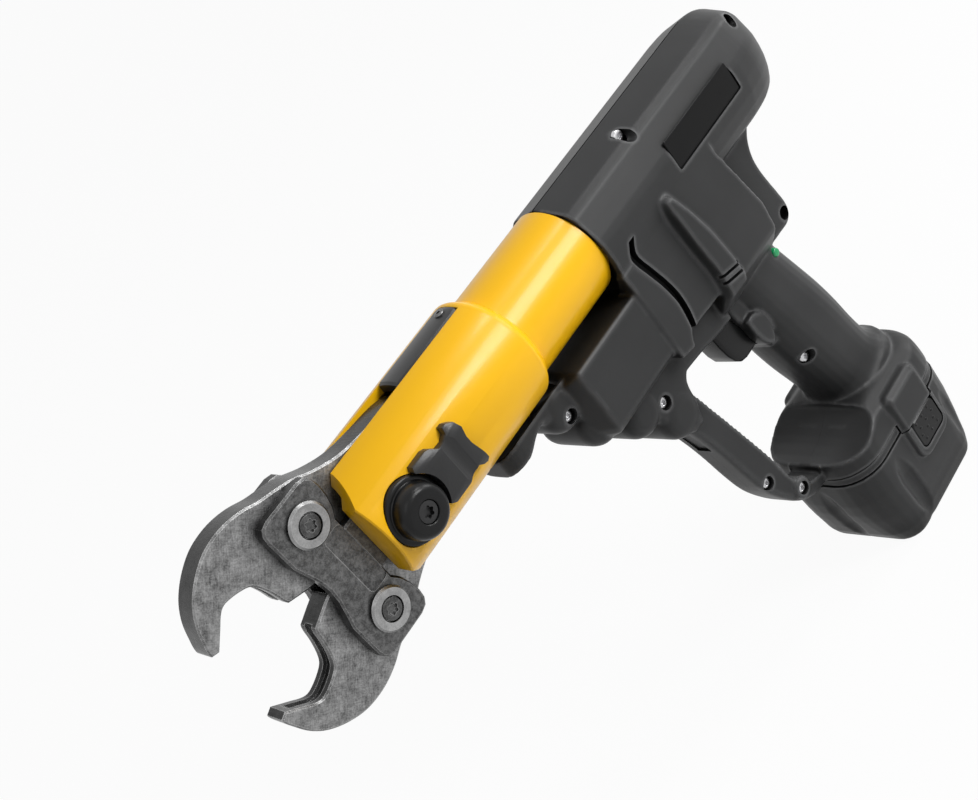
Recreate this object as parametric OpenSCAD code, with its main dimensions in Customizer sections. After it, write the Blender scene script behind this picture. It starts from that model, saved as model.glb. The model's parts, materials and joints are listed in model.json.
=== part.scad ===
// Battery radial press with a two-jaw pressing tong.
// Barrel frame: X forward along the barrel, Y to the tool's left, Z up,
// zero on the barrel axis at the casing's front face.

/* [Stance] */
// Height of the barrel axis above the battery base
axis_h = 267; // [260:1:280]
// Distance from the middle of the battery base forward to the casing's front face
front_reach = 86; // [82:1:90]

/* [Casing barrel] */
// Length of the casing's barrel
casing_len = 166; // [160:1:180]
// Height of the casing's crown above the axis
crown_h = 26; // [25:0.5:30]
// Sideways place of the shoulder edge
shoulder_y = 20; // [19:0.5:22]
// Height of the shoulder edge above the axis
shoulder_h = 19.5; // [18.5:0.5:21]
// Half width of the casing's barrel
side_w = 28.5; // [28:0.5:31]
// Depth of the barrel's underside below the axis
belly_h = 31; // [29:0.5:34]
// Radius of the round tail end
tail_r = 38; // [36:1:40]
// Radius of the barrel's inner hollow
hollow_r = 23; // [22.8:0.1:23.5]
// Wall of the casing's closed ends
end_wall = 4; // [3:0.5:5]

/* [Name panel] */
// Length of the bare panel
panel_len = 57; // [50:1:64]
// Height of the bare panel
panel_h = 16; // [14:0.5:18]
// Thickness of the bare panel
panel_t = 0.8; // [0.6:0.1:1.2]
// Depth of the panel's recess
panel_depth = 1.4; // [1.3:0.1:2]
// Distance from the front face to the panel's front end
panel_back = 63; // [60:1:68]

/* [Motor block] */
// Depth of the motor axis below the barrel axis
motor_drop = 52; // [51:0.5:54]
// Half width and lower radius of the motor block
block_r = 27; // [26:0.5:29]
// Length of the motor block ahead of the front face
block_fwd = 56; // [54:1:57]
// Length of the motor block behind the front face
block_aft = 48; // [46:1:52]
// Radius of the round motor hollow
motor_hollow_r = 20.4; // [20.3:0.1:21]
// Radius of the fastening lobes under the block
lobe_r = 10; // [9:0.5:11]
// Half width of the fastening lobes
lobe_w = 17; // [14:0.5:20]

/* [Guard tongue] */
// Length of the guard tongue ahead of the front face
guard_reach = 97; // [92:1:98]
// Thickness of the guard tongue
guard_t = 4.5; // [4:0.5:6]
// Half width of the guard tongue
guard_w = 17; // [14:0.5:19]
// Gap between the guard tongue and the turning head
guard_gap = 2.4; // [2:0.1:3]

/* [Belt] */
// Distance from the front face back to the belt
belt_back = 42; // [40:1:44]
// Width of the belt along the barrel
belt_len = 46; // [42:1:50]
// Half width of the tool over the belt
belt_w = 31; // [30:0.5:33]
// Half width of the tool over the belt's front rib
rib_w = 34; // [33:0.5:36]
// Width of the front rib
rib_len = 8; // [6:0.5:10]
// Half width of the web behind the belt
web_w = 16; // [14:0.5:18]

/* [Handle] */
// Backward lean of the handle in degrees
handle_lean = 13.5; // [12:0.5:15]
// Depth of the handle from front to back
handle_d = 46; // [44:0.5:48]
// Width of the handle
handle_w = 38; // [36:0.5:40]
// Corner radius of the handle
handle_r = 17; // [14:0.5:18]
// Wall of the handle
handle_wall = 4; // [3.5:0.5:5]
// Distance from the front face back to the handle's middle
handle_back = 87.5; // [85:0.5:90]
// Depth of the handle's middle below the axis
handle_drop = 134; // [130:1:138]
// Height of the handle's upper end above the belt's lower edge
handle_root = 4.5; // [4:0.5:6]
// Width of the front strut
strut_w = 21; // [18:0.5:24]
// Thickness of the front strut
strut_t = 16; // [14:0.5:18]
// Distance from the front face forward to the strut's upper end
strut_reach = 9; // [7:0.5:11]
// Distance from the front face back to the strut's knee
strut_back = 11.5; // [9:0.5:14]
// Height of the strut's knee above the battery's rim
strut_rise = 41; // [38:0.5:44]
// Depth of the belt's lower edge below the axis
belt_drop = 84; // [82:0.5:86]
// Height of the foot above the battery's rim
foot_h = 36; // [34:0.5:38]

/* [Battery] */
// Length of the battery
battery_len = 98; // [96:1:102]
// Width of the battery
battery_w = 74; // [73:0.5:78]
// Height of the battery at its side wall
battery_h = 56; // [54:0.5:58]
// Corner radius of the battery seen from above
battery_r = 22; // [18:0.5:26]
// Wall of the battery case
battery_wall = 3; // [2.5:0.5:3.5]
// Length of the flat battery base
base_len = 74; // [70:1:80]
// Width of the flat battery base
base_w = 60; // [56:0.5:64]
// Width of the contact tower
tower_w = 30; // [26:0.5:34]
// Length of the contact tower
tower_len = 40; // [36:0.5:42]
// Height of the contact tower
tower_h = 14; // [12:0.5:14.5]
// Distance from the battery's middle back to the middle of a button
button_back = 10; // [8:0.5:11]
// Length of a battery button
button_len = 23; // [20:0.5:25]
// Height of a battery button
button_h = 16; // [14:0.5:18]
// Thickness of a battery button
button_t = 4; // [3:0.5:5]
// Inward travel of a battery button
button_travel = 2.5; // [2:0.5:3]
// Diameter of a battery cell
cell_d = 18.4; // [17:0.1:18.6]
// Gap between the ends of a battery cell and the case
cell_room = 1.5; // [1:0.1:3]

/* [Press cylinder] */
// Outer diameter of the coloured press cylinder
tube_d = 51; // [50:0.5:52]
// Length of the press cylinder ahead of the front face
tube_len = 90; // [88:0.5:92]
// Diameter of the cylinder's bore
bore_d = 36; // [32:0.5:38]
// Length of the cylinder's neck inside the casing
neck_len = 26; // [22:0.5:27]
// Thickness of the cylinder's rear wall
rear_wall = 12; // [10:0.5:14]
// Width of the retaining ring
ring_w = 4; // [3:0.5:5]
// Distance from the cylinder's front end back to the retaining ring
ring_back = 9.5; // [8:0.5:11]
// Depth of the retaining ring's groove
ring_depth = 2; // [1.5:0.1:2.5]

/* [Press head] */
// Outer diameter of the turning head
head_d = 61; // [60:0.5:62]
// Distance from the front face to the head's rear rim
head_back = 58; // [57:0.5:60]
// Front bore of the head
head_bore_d = 53; // [52.5:0.5:54]
// Inner distance between the head's fork cheeks
fork_w = 28; // [27.5:0.1:29]
// Width of the head's jaw slots
slot_w = 14.5; // [14:0.1:15.5]
// Distance from the rear rim to the start of the jaw slots
slot_start = 7; // [6:0.5:9]
// Gap between the black strips in the slots and the jaws' tails
strip_gap = 2; // [1.5:0.1:3]
// Length of the corner chamfers at the head's front
nose_cut = 12; // [10:0.5:14]

/* [Holding pin] */
// Diameter of the holding pin
pin_d = 14; // [12:0.1:15]
// Distance from the head's front end back to the holding pin
pin_back = 20.5; // [19:0.5:22]
// Height of the knob's seat above the axis
knob_seat = 25.7; // [25:0.1:27]
// Diameter of the knob's flange
flange_d = 29.5; // [27:0.5:31]
// Thickness of the knob's flange
flange_t = 4; // [3:0.5:5]
// Diameter of the knob
knob_d = 24; // [22:0.5:25]
// Height of the knob above its flange
knob_h = 9; // [8:0.5:11]

/* [Pin latch] */
// Length of the pin latch
latch_len = 27; // [25:0.5:30]
// Height of the pin latch around the head
latch_h = 27; // [24:0.5:30]
// Thickness of the pin latch
latch_t = 6; // [4:0.5:7]
// Backward travel of the pin latch
latch_travel = 5; // [4:0.5:6]

/* [Ram] */
// Stroke of the ram
stroke = 32; // [28:0.5:32]
// Length of the piston
piston_len = 12; // [10:0.5:16]
// Distance from the front face to the piston at rest
piston_reach = 4; // [3:0.5:6]
// Diameter of the piston rod
rod_d = 18; // [16:0.5:20]
// Diameter of a press roller
roller_d = 20; // [19:0.5:20.5]
// Width of a press roller
roller_w = 12.6; // [11:0.1:13]
// Diameter of a roller pin
roller_pin_d = 6; // [5:0.1:7]
// Distance from the cylinder's front end forward to the roller pins at rest
roller_fwd = 14; // [13:0.5:16]
// Thickness of the roller carriage's cheeks
cheek_t = 5.5; // [4:0.5:6]
// Half height of a cheek's round nose
nose_r = 5; // [4.4:0.1:5.2]
// Wire diameter of the return spring
return_wire = 2; // [1.6:0.1:2.4]
// Turns of the return spring
return_turns = 9; // [7:1:11]

/* [Pressing tong] */
// Thickness of a jaw
jaw_t = 13; // [12:0.1:13.6]
// Distance from the holding pin forward to the jaw pins
jaw_fwd = 31.5; // [30:0.5:33]
// Half spacing of the jaw pins
jaw_half = 26.7; // [26:0.1:28]
// Diameter of a jaw pin
jaw_pin_d = 14; // [12:0.1:15]
// Opening angle of a jaw in degrees
open_angle = 19.3; // [17:0.1:20]
// Radius of the press contour
contour_r = 16.5; // [14:0.5:18]
// Distance from the jaw pins forward to the middle of the press contour
contour_fwd = 36.2; // [35:0.1:38]
// Radius of the jaws' round nose
jaw_nose_r = 40; // [39:0.5:42]
// Distance from the jaw pins back to the roller pins at rest
roller_back = 79; // [77:0.5:80]
// Distance from the roller pins forward to the ends of the jaws' tails
tail_fwd = 9; // [8:0.5:11]
// Thickness of a side plate
plate_t = 6.5; // [6:0.1:7]
// Radius of the plates' tongue around the holding pin
tongue_r = 13; // [12:0.1:13.3]
// Diameter of a jaw pin washer
washer_d = 22; // [20:0.5:24]
// Thickness of a jaw pin washer
washer_t = 2.5; // [2:0.1:3]

/* [Trigger] */
// Width of the trigger
trigger_w = 17; // [15:0.5:18]
// Backward travel of the trigger
trigger_travel = 5; // [4:0.5:6]
// Diameter of the status lamp
lamp_d = 5; // [4:0.5:6]

/* [Motor and pump] */
// Diameter of the motor can
can_d = 37; // [35:0.5:38]
// Length of the motor can
can_len = 46; // [42:0.5:47]
// Tooth module of the reduction gear
gear_module = 0.8; // [0.75:0.01:0.82]
// Width of the reduction gears
gear_w = 8; // [7:0.5:8.5]
// Diameter of the motor shaft
shaft_d = 4; // [3.5:0.1:4.5]
// Throw of the pump eccentric
throw = 2; // [1.5:0.1:2.2]
// Radius of the pump eccentric
lobe_cam_r = 7; // [6:0.5:7.5]
// Diameter of the pump plunger
plunger_d = 8; // [7:0.5:9]

/* [Fasteners] */
// Head diameter of the casing screws
screw_head_d = 6.4; // [5.6:0.1:7]
// Shank diameter of the casing screws
screw_d = 3.6; // [3:0.1:4]
// Height of the casing screws' seat beside the middle plane
screw_seat = 8; // [7:0.5:9]
// Depth of a casing screw in the far shell
screw_bite = 9; // [8:0.5:9.5]

/* [Hidden] */
$fn = 48;
// Clearance of running fits, per side
run_gap = 0.05;
// Gap between faces of different moving pieces
free_gap = 0.4;
// Gap between seated pieces that don't move against each other
seat_gap = 0.02;
// Overrun of every cut
over = 2;
// Reach of the half spaces that split the casing
far = 400;

// Press head places along the barrel
tube_r = tube_d / 2;
bore_r = bore_d / 2;
head_r = head_d / 2;
head_bore_r = head_bore_d / 2;
neck_r = hollow_r - free_gap;
ring_reach = tube_len - ring_back;
roller_reach = tube_len + roller_fwd;
jaw_x = roller_reach + roller_back;
tail_len = roller_back - tail_fwd;
pin_x = jaw_x - jaw_fwd;
pin_r = pin_d / 2;
head_reach = pin_x + pin_back;
contour_x = jaw_x + contour_fwd;
slot_x = head_back + slot_start;
strip_x = jaw_x - tail_len - strip_gap;
strip_rise = 0.4;
strip_screw_d = 5;
dome_share = 0.65;
roller_r = roller_d / 2;
roller_z = roller_r + free_gap / 2;
plate_y = jaw_t / 2 + free_gap;
plate_out = plate_y + plate_t;
knob_top = knob_seat + flange_t + knob_h;

// Belt and trigger boss
belt_crown = 7;
belt_bevel = 6;
boss_w = 12.5;
boss_fwd = 50;
boss_drop = 122;
boss_step = 14;

// Rear edge of the web, as shares of the casing's length and the belt's depth
web_rear_shares = [[0.62, 1.1], [0.69, 0.95], [0.7, 0.77], [0.7, 0.58], [0.73, 0.42], [0.78, 0.31]];
// Middles of the fastening lobes, as shares of the block's length and the motor's depth
lobe_shares = [[1.1, 0.83], [0.89, 1.15], [0.6, 1.35], [0.3, 1.6]];
// Top edge of the foot, as shares of the battery's length and the foot's height
foot_top_shares = [[-0.49, 0.69], [-0.37, 0.97], [-0.17, 1], [0.02, 0.67], [0.13, 0.67], [0.2, 0.56],
    [0.41, 0.47], [0.5, 0.53]];

// Battery places
battery_x = -front_reach;
base_z = -axis_h;
rim_z = base_z + battery_h;
waist_share = 0.45;
waist_z = base_z + battery_h * waist_share;
foot_w = battery_w - free_gap;
foot_len = battery_len + free_gap;
button_x = battery_x - button_back - button_len / 2;
button_z = rim_z - button_h - battery_wall;
button_y = battery_w / 2 - button_t + free_gap;
groove_r = 12;
groove_depth = 1.5;

// Handle frame, and its ends along the lean
handle_x = -handle_back;
handle_z = -handle_drop;
handle_sink_share = 0.62;
handle_top = (handle_root - belt_drop - handle_z) / cos(handle_lean);
handle_bottom = (rim_z + foot_h * handle_sink_share - handle_z) / cos(handle_lean);
handle_len = handle_top - handle_bottom;
strut_ends = [[strut_reach, -belt_drop - strut_t / 2], [-strut_back, rim_z + strut_rise],
    [battery_x + foot_len / 2, rim_z + strut_t / 2 + free_gap]];

// A point turned about zero
function turned(p, a) = [p[0] * cos(a) - p[1] * sin(a), p[0] * sin(a) + p[1] * cos(a)];

// Places beside the handle, lobes and strut, as distances from the front face and the axis
function handle_at(d, l) =
    [handle_x, handle_z] + turned([d, l], -handle_lean);
function lobe_at(i) = [block_fwd * lobe_shares[i][0], -motor_drop * lobe_shares[i][1]];
function strut_at(i, s) = strut_ends[i] * (1 - s) + strut_ends[i + 1] * s;

// Reduction gear
sun_teeth = 12;
planet_teeth = 15;
ring_teeth = sun_teeth + 2 * planet_teeth;
planet_count = 3;
orbit_r = gear_module * (sun_teeth + planet_teeth) / 2;
ring_r = gear_module * ring_teeth / 2;
gear_x = -14;
ring_wall = 2.4;
planet_pin_r = 1.8;
tooth_share = 0.38;
tip_share = 0.6;
add_share = 0.6;
ded_share = 0.95;

// Centre of the upper roller seen from the upper jaw, at a share of the stroke
function roller_path(s) =
    [jaw_x, jaw_half] + turned([roller_reach + stroke * s - jaw_x, roller_z - jaw_half], open_angle * s);
path_step = 0.01;
function path_normal(s) =
    let (d = roller_path(s + path_step) - roller_path(s - path_step))
    [-d[1], d[0]] / norm(d);
function cam_face(s) = roller_path(s) + (roller_r + free_gap) * path_normal(s);

// Places a piece from the barrel frame into the part's own frame
module on_barrel() {
    translate([front_reach, 0, axis_h]) children();
}

// Round bar along X
module bar_x(r, x0, x1) {
    translate([x0, 0, 0]) rotate([0, 90, 0]) cylinder(r = r, h = x1 - x0);
}

// Round bar along Y at a place in the XZ plane
module bar_y(r, x, z, y0, y1) {
    translate([x, y0, z]) rotate([-90, 0, 0]) cylinder(r = r, h = y1 - y0);
}

// Round bar along Z
module bar_z(r, x, y, z0, z1) {
    translate([x, y, z0]) cylinder(r = r, h = z1 - z0);
}

// Flat XZ outline extruded from y0 to y1
module slab(y0, y1) {
    translate([0, y1, 0]) rotate([90, 0, 0]) linear_extrude(y1 - y0) children();
}

// Flat YZ outline extruded from x0 to x1
module section(x0, x1) {
    translate([x0, 0, 0]) rotate([90, 0, 90]) linear_extrude(x1 - x0) children();
}

// Box given by its two corners
module block(a, b) {
    translate(a) cube(b - a);
}

// Rectangle with round corners, centred
module round_rect(w, h, r) {
    square([w - 2 * r, h], center = true);
    square([w, h - 2 * r], center = true);
    for (x = [-1, 1], y = [-1, 1])
        translate([x * (w / 2 - r), y * (h / 2 - r)]) circle(r = r);
}

// Coil spring along Z, one unbroken tube of six sides
module coil(r, wire, len, turns) {
    sides = 6;
    turn_steps = 8;
    steps = turn_steps * turns;
    rise = (len - wire) / steps;
    ring = [for (i = [0:steps], k = [0:sides - 1])
        let (a = 360 * i / turn_steps, b = 360 * k / sides, q = r + wire / 2 * cos(b))
        [q * cos(a), q * sin(a), wire / 2 + i * rise + wire / 2 * sin(b)]];
    walls = [for (i = [0:steps - 1], k = [0:sides - 1])
        let (a = i * sides + k, b = i * sides + (k + 1) % sides) each [
            [a, b, b + sides], [a, b + sides, a + sides]]];
    first = [for (k = [1:sides - 2]) [0, k + 1, k]];
    last = [for (k = [1:sides - 2]) [steps * sides, steps * sides + k, steps * sides + k + 1]];
    echo(spring_gap = (len - wire) / turns - wire);
    polyhedron(ring, concat(walls, first, last));
}

// Flat outline of a toothed wheel, with a tooth at angle zero
module gear_outline(teeth, m, add, ded) {
    r = m * teeth / 2;
    pitch = 360 / teeth;
    half = pitch * tooth_share / 2;
    polygon([for (i = [0:teeth - 1]) each [
        (r - ded * m) * [cos(i * pitch - half), sin(i * pitch - half)],
        (r + add * m) * [cos(i * pitch - half * tip_share), sin(i * pitch - half * tip_share)],
        (r + add * m) * [cos(i * pitch + half * tip_share), sin(i * pitch + half * tip_share)],
        (r - ded * m) * [cos(i * pitch + half), sin(i * pitch + half)]]]);
}

// Places children on the motor axis
module on_motor() {
    translate([0, 0, -motor_drop]) children();
}

// Outer form of the casing's barrel
module barrel_form() {
    intersection() {
        section(-casing_len, 0) polygon([
            [0, crown_h], [shoulder_y, shoulder_h], [side_w, shoulder_h / 3],
            [side_w, -belly_h / 2], [shoulder_y, -belly_h], [-shoulder_y, -belly_h],
            [-side_w, -belly_h / 2], [-side_w, shoulder_h / 3], [-shoulder_y, shoulder_h]]);
        slab(-side_w - over, side_w + over) {
            translate([tail_r - casing_len, (crown_h - tail_r) / 2]) circle(r = tail_r);
            translate([tail_r - casing_len, -belly_h]) square([casing_len - tail_r, crown_h + belly_h]);
        }
        translate([0, 0, -belly_h]) linear_extrude(crown_h + belly_h) polygon([
            [0, -side_w], [tail_r - casing_len, -side_w], [-casing_len, -side_w / 2],
            [-casing_len, side_w / 2], [tail_r - casing_len, side_w], [0, side_w]]);
    }
}

// Outer form of the belt, its rib and the web behind it
module belt_form() {
    slab(-web_w, web_w) polygon(concat(
        [[-belt_back, -belt_crown], [-belt_back, -belt_drop]],
        [for (s = web_rear_shares) [-casing_len * s[0], -belt_drop * s[1]]]));
    belt_band(belt_len, belt_w);
    translate([over, 0, 0]) belt_band(rib_len, rib_w);
}

// One band of the belt, of a length back from its front face and a half width
module belt_band(len, w) {
    section(-belt_back - len, -belt_back) polygon([
        [-w + belt_bevel, -belt_crown], [-w, -belt_crown - belt_bevel],
        [-w, -belt_drop + belt_bevel], [-w + belt_bevel, -belt_drop],
        [w - belt_bevel, -belt_drop], [w, -belt_drop + belt_bevel],
        [w, -belt_crown - belt_bevel], [w - belt_bevel, -belt_crown]]);
}

// Outer form of the motor block with its lobes and guard tongue
module motor_form() {
    on_motor() bar_x(block_r, -block_aft, block_fwd);
    block([-block_aft, -block_r, -motor_drop], [block_fwd, block_r, -tube_r - guard_gap]);
    for (i = [0:len(lobe_shares) - 1]) {
        p = lobe_at(i);
        bar_y(lobe_r, p[0], p[1], -lobe_w, lobe_w);
        slab(-lobe_w, lobe_w) polygon([[p[0] - lobe_r, p[1]], [p[0] + lobe_r, p[1]],
            [block_fwd - lobe_r, -motor_drop], [0, -motor_drop]]);
    }
    intersection() {
        difference() {
            bar_x(head_r + guard_gap + guard_t, block_fwd - lobe_r, guard_reach);
            bar_x(head_r + guard_gap, block_fwd - lobe_r - over, guard_reach + over);
        }
        translate([0, 0, -far]) linear_extrude(far) union() {
            translate([guard_reach - guard_w, 0]) circle(r = guard_w);
            translate([0, -guard_w]) square([guard_reach - guard_w, 2 * guard_w]);
        }
    }
}

// Places children on the handle's middle, leaning as the handle leans
module on_handle() {
    translate([handle_x, 0, handle_z]) rotate([0, handle_lean, 0]) children();
}

// Handle bar, of the handle's outline drawn in by an inset
module handle_bar(inset) {
    on_handle() translate([0, 0, handle_bottom])
        linear_extrude(handle_len) round_rect(handle_d - 2 * inset, handle_w - 2 * inset, handle_r - inset);
}

// Outer form of the handle, trigger boss, strut and foot
module grip_form() {
    handle_bar(0);
    slab(-boss_w, boss_w) polygon([[-boss_fwd, -belt_drop], [-boss_fwd, -boss_drop + boss_step],
        [-boss_fwd - boss_step / 2, -boss_drop], [-handle_back, -boss_drop], [-handle_back, -belt_drop]]);
    slab(-strut_w / 2, strut_w / 2) {
        for (i = [0, 1]) hull() {
            translate(strut_ends[i]) circle(r = strut_t / 2);
            translate(strut_ends[i + 1]) circle(r = strut_t / 2);
        }
        polygon([[-belt_back, -motor_drop], [strut_reach, -motor_drop], strut_ends[0],
            strut_ends[0] - [strut_t / 2, 0], [strut_reach - strut_t, -belt_drop], [-belt_back, -belt_drop]]);
    }
    intersection() {
        slab(-foot_w / 2, foot_w / 2) polygon(concat(
            [[battery_x - foot_len / 2, rim_z + free_gap]],
            [for (s = foot_top_shares) [battery_x + foot_len * s[0], rim_z + foot_h * s[1]]],
            [[battery_x + foot_len / 2, rim_z + free_gap]]));
        translate([battery_x, 0, base_z]) linear_extrude(axis_h) round_rect(foot_len, foot_w, battery_r);
    }
}

// Hollows inside the casing
module casing_hollow() {
    bar_x(hollow_r, end_wall - casing_len + belly_h - shoulder_y, -end_wall);
    bar_x(neck_r + run_gap, -end_wall - over, over);
    bar_x(tube_r + free_gap, 0, head_back);
    on_motor() bar_x(motor_hollow_r, end_wall - block_aft, block_fwd - end_wall);
    block([end_wall - block_aft, -motor_hollow_r + end_wall, -motor_drop],
        [gear_x - end_wall, motor_hollow_r - end_wall, 0]);
    difference() {
        handle_bar(handle_wall);
        block([-far, -far, -belt_drop], [far, far, 0]);
    }
    block([battery_x - tower_len / 2 - free_gap, -tower_w / 2 - free_gap, rim_z - over],
        [battery_x + tower_len / 2 + free_gap, tower_w / 2 + free_gap, rim_z + tower_h + end_wall]);
    block([-handle_back, -trigger_w / 2 - free_gap, -boss_drop + end_wall],
        [-boss_fwd + over, trigger_w / 2 + free_gap, -belt_drop - end_wall / 2]);
}

// Places of the casing screws, as distances from the front face and the axis
crown_screw_share = 0.87;
web_screw_share = 0.67;
strut_screw_shares = [0, 0.5];
screw_places = [
    [-panel_back * crown_screw_share, shoulder_h + screw_d / 3],
    [tail_r / 2 - casing_len, shoulder_h - screw_head_d],
    [-casing_len * web_screw_share, -belt_drop + screw_d],
    lobe_at(0),
    lobe_at(3),
    handle_at(handle_d / 2 - handle_wall - screw_head_d / 2, -screw_head_d),
    strut_at(1, strut_screw_shares[0]),
    strut_at(1, strut_screw_shares[1])
];
boss_share = 0.75;

// Bosses of the casing screws
module screw_bosses() {
    for (p = screw_places)
        bar_y(screw_head_d * boss_share, p[0], p[1], -screw_bite - over, screw_seat);
}

// Counterbores and holes of the casing screws
module screw_holes() {
    for (p = screw_places) {
        bar_y(screw_head_d / 2 + seat_gap, p[0], p[1], screw_seat, far);
        bar_y(screw_d / 2 + seat_gap, p[0], p[1], -screw_bite, screw_seat + over);
    }
}

// Whole outer form of the casing
module casing_form() {
    barrel_form();
    belt_form();
    motor_form();
    grip_form();
}

// One half of the casing: side 1 is the left, -1 the right
module casing_half(side) {
    difference() {
        intersection() {
            union() {
                difference() {
                    casing_form();
                    casing_hollow();
                }
                intersection() {
                    casing_form();
                    screw_bosses();
                }
            }
            block([-far, side > 0 ? 0 : -far, -far], [far, side > 0 ? far : 0, far]);
        }
        screw_holes();
        panel_recess(side);
        if (side > 0) lamp_hole();
    }
}

// Recess of the bare name panel on one side
module panel_recess(side) {
    y = side > 0 ? side_w - panel_depth : -side_w - over;
    block([-panel_back - panel_len, y, -panel_h / 2], [-panel_back, y + panel_depth + over, panel_h / 2]);
}

// Place of the status lamp on the handle's left rear
lamp_x = -91;
lamp_z = -89;
module lamp_hole() {
    bar_y(lamp_d / 2 + seat_gap, lamp_x, lamp_z, boss_w, far);
}

module left_housing() color([0.13, 0.13, 0.14]) on_barrel() casing_half(1);

module right_housing() color([0.12, 0.12, 0.13]) on_barrel() casing_half(-1);

module housing_screws() color("silver") on_barrel()
    for (p = screw_places) {
        bar_y(screw_d / 2, p[0], p[1], -screw_bite + seat_gap, screw_seat + seat_gap);
        difference() {
            bar_y(screw_head_d / 2, p[0], p[1], screw_seat + seat_gap, screw_seat + screw_d);
            bar_y(screw_d / 3, p[0], p[1], screw_seat + screw_d / 2, screw_seat + screw_d + over);
        }
    }

module name_panels() color([0.08, 0.08, 0.08]) on_barrel()
    for (side = [-1, 1]) {
        y = side > 0 ? side_w - panel_depth + seat_gap : panel_depth - side_w - seat_gap - panel_t;
        block([-panel_back - panel_len + free_gap, y, free_gap - panel_h / 2],
            [-panel_back - free_gap, y + panel_t, panel_h / 2 - free_gap]);
    }

module status_lamp() color([0.1, 0.7, 0.35]) on_barrel() intersection() {
    bar_y(lamp_d / 2, lamp_x, lamp_z, boss_w + seat_gap, far);
    translate([lamp_x, handle_w / 2 - lamp_d - handle_wall / 4, lamp_z]) sphere(r = lamp_d);
}

module press_cylinder() color([0.98, 0.75, 0.05]) on_barrel() difference() {
    union() {
        bar_x(neck_r, -neck_len, free_gap + over);
        bar_x(tube_r, free_gap, tube_len);
    }
    bar_x(bore_r, rear_wall - neck_len, tube_len + over);
    difference() {
        bar_x(tube_r + over, ring_reach, ring_reach + ring_w);
        bar_x(tube_r - ring_depth, ring_reach - over, ring_reach + ring_w + over);
    }
}

module retaining_ring() color("dimgray") on_barrel() difference() {
    bar_x(head_bore_r - free_gap, ring_reach + seat_gap, ring_reach + ring_w - seat_gap);
    bar_x(tube_r - ring_depth + seat_gap, ring_reach - over, ring_reach + ring_w + over);
    translate([ring_reach - over, -ring_w / 2, 0]) cube([ring_w + 2 * over, ring_w, far]);
}

gland_len = 8;
gland_x = tube_len - gland_len - free_gap;
module cylinder_gland() color("silver") on_barrel() difference() {
    bar_x(bore_r - seat_gap, gland_x, gland_x + gland_len);
    bar_x(rod_d / 2 + run_gap, gland_x - over, gland_x + gland_len + over);
}

spring_seat = piston_reach + piston_len;
module return_spring() color("gray") on_barrel()
    translate([spring_seat + free_gap, 0, 0]) rotate([0, 90, 0])
        coil((bore_r + rod_d / 2) / 2, return_wire, gland_x - spring_seat - 2 * free_gap, return_turns);

pump_half_w = 14;
pump_half_h = 15;
pump_len = 40;
module pump_block() color("lightgray") on_barrel() difference() {
    block([-neck_len - pump_len, -pump_half_w, -pump_half_h], [-neck_len - seat_gap, pump_half_w, pump_half_h]);
    bar_z(plunger_d / 2 + run_gap, cam_x, 0, -pump_half_h - over, 0);
}

cam_len = 8;
cam_x = gear_x - cam_len - 2 * ring_wall - 2 * end_wall;
cam_top = lobe_cam_r + throw - motor_drop;
module pump_plunger() color("silver") on_barrel()
    bar_z(plunger_d / 2, cam_x, 0, cam_top + run_gap, -run_gap);

tail_room = 34;
reservoir_len = casing_len - neck_len - pump_len - tail_room;
module oil_reservoir() color([0.2, 0.2, 0.22]) on_barrel()
    bar_x(pump_half_h, -neck_len - pump_len - reservoir_len, -neck_len - pump_len - seat_gap);

can_x = 4;
can_wall = 1.5;
module motor_can() color("silver") on_barrel() on_motor() difference() {
    bar_x(can_d / 2, can_x, can_x + can_len);
    bar_x(can_d / 2 - can_wall, can_x + can_wall, can_x + can_len - can_wall);
    bar_x(shaft_d / 2 + run_gap, can_x - over, can_x + can_len + over);
}

module motor_armature() color([0.6, 0.35, 0.15]) on_barrel() on_motor() {
    bar_x(shaft_d / 2, gear_x, can_x + can_len);
    difference() {
        bar_x(can_d / 2 - 2 * can_wall, can_x + end_wall, can_x + can_len - end_wall);
        for (a = [0:60:359])
            rotate([a, 0, 0]) translate([0, 0, can_d / 2 - 2 * can_wall]) bar_x(can_wall, 0, far);
    }
}

module sun_gear() color("goldenrod") on_barrel() on_motor() difference() {
    section(gear_x, gear_x + gear_w) gear_outline(sun_teeth, gear_module, add_share, ded_share);
    bar_x(shaft_d / 2 + seat_gap, gear_x - over, gear_x + gear_w + over);
}

ring_out = ring_r + gear_module + ring_wall;
ring_rear = gear_x - end_wall - ring_wall - end_wall;
module ring_gear() color("slategray") on_barrel() on_motor() difference() {
    bar_x(ring_out, ring_rear, can_x - seat_gap);
    bar_x(ring_r + gear_module, ring_rear + end_wall, gear_x);
    bar_x(ring_r + gear_module, gear_x + gear_w, can_x + over);
    section(gear_x - over, gear_x + gear_w + over) ring_space();
    bar_x(shaft_d + run_gap, ring_rear - over, ring_rear + end_wall + over);
}

// Space inside the ring gear's teeth, with a gap at angle zero
module ring_space() {
    pitch = 360 / ring_teeth;
    half = pitch * (1 - tooth_share) / 2;
    inner = ring_r - add_share * gear_module;
    outer = ring_r + ded_share * gear_module;
    polygon([for (i = [0:ring_teeth - 1]) each [
        inner * [cos(i * pitch - half), sin(i * pitch - half)],
        outer * [cos(i * pitch - half * tip_share), sin(i * pitch - half * tip_share)],
        outer * [cos(i * pitch + half * tip_share), sin(i * pitch + half * tip_share)],
        inner * [cos(i * pitch + half), sin(i * pitch + half)]]]);
}

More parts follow.
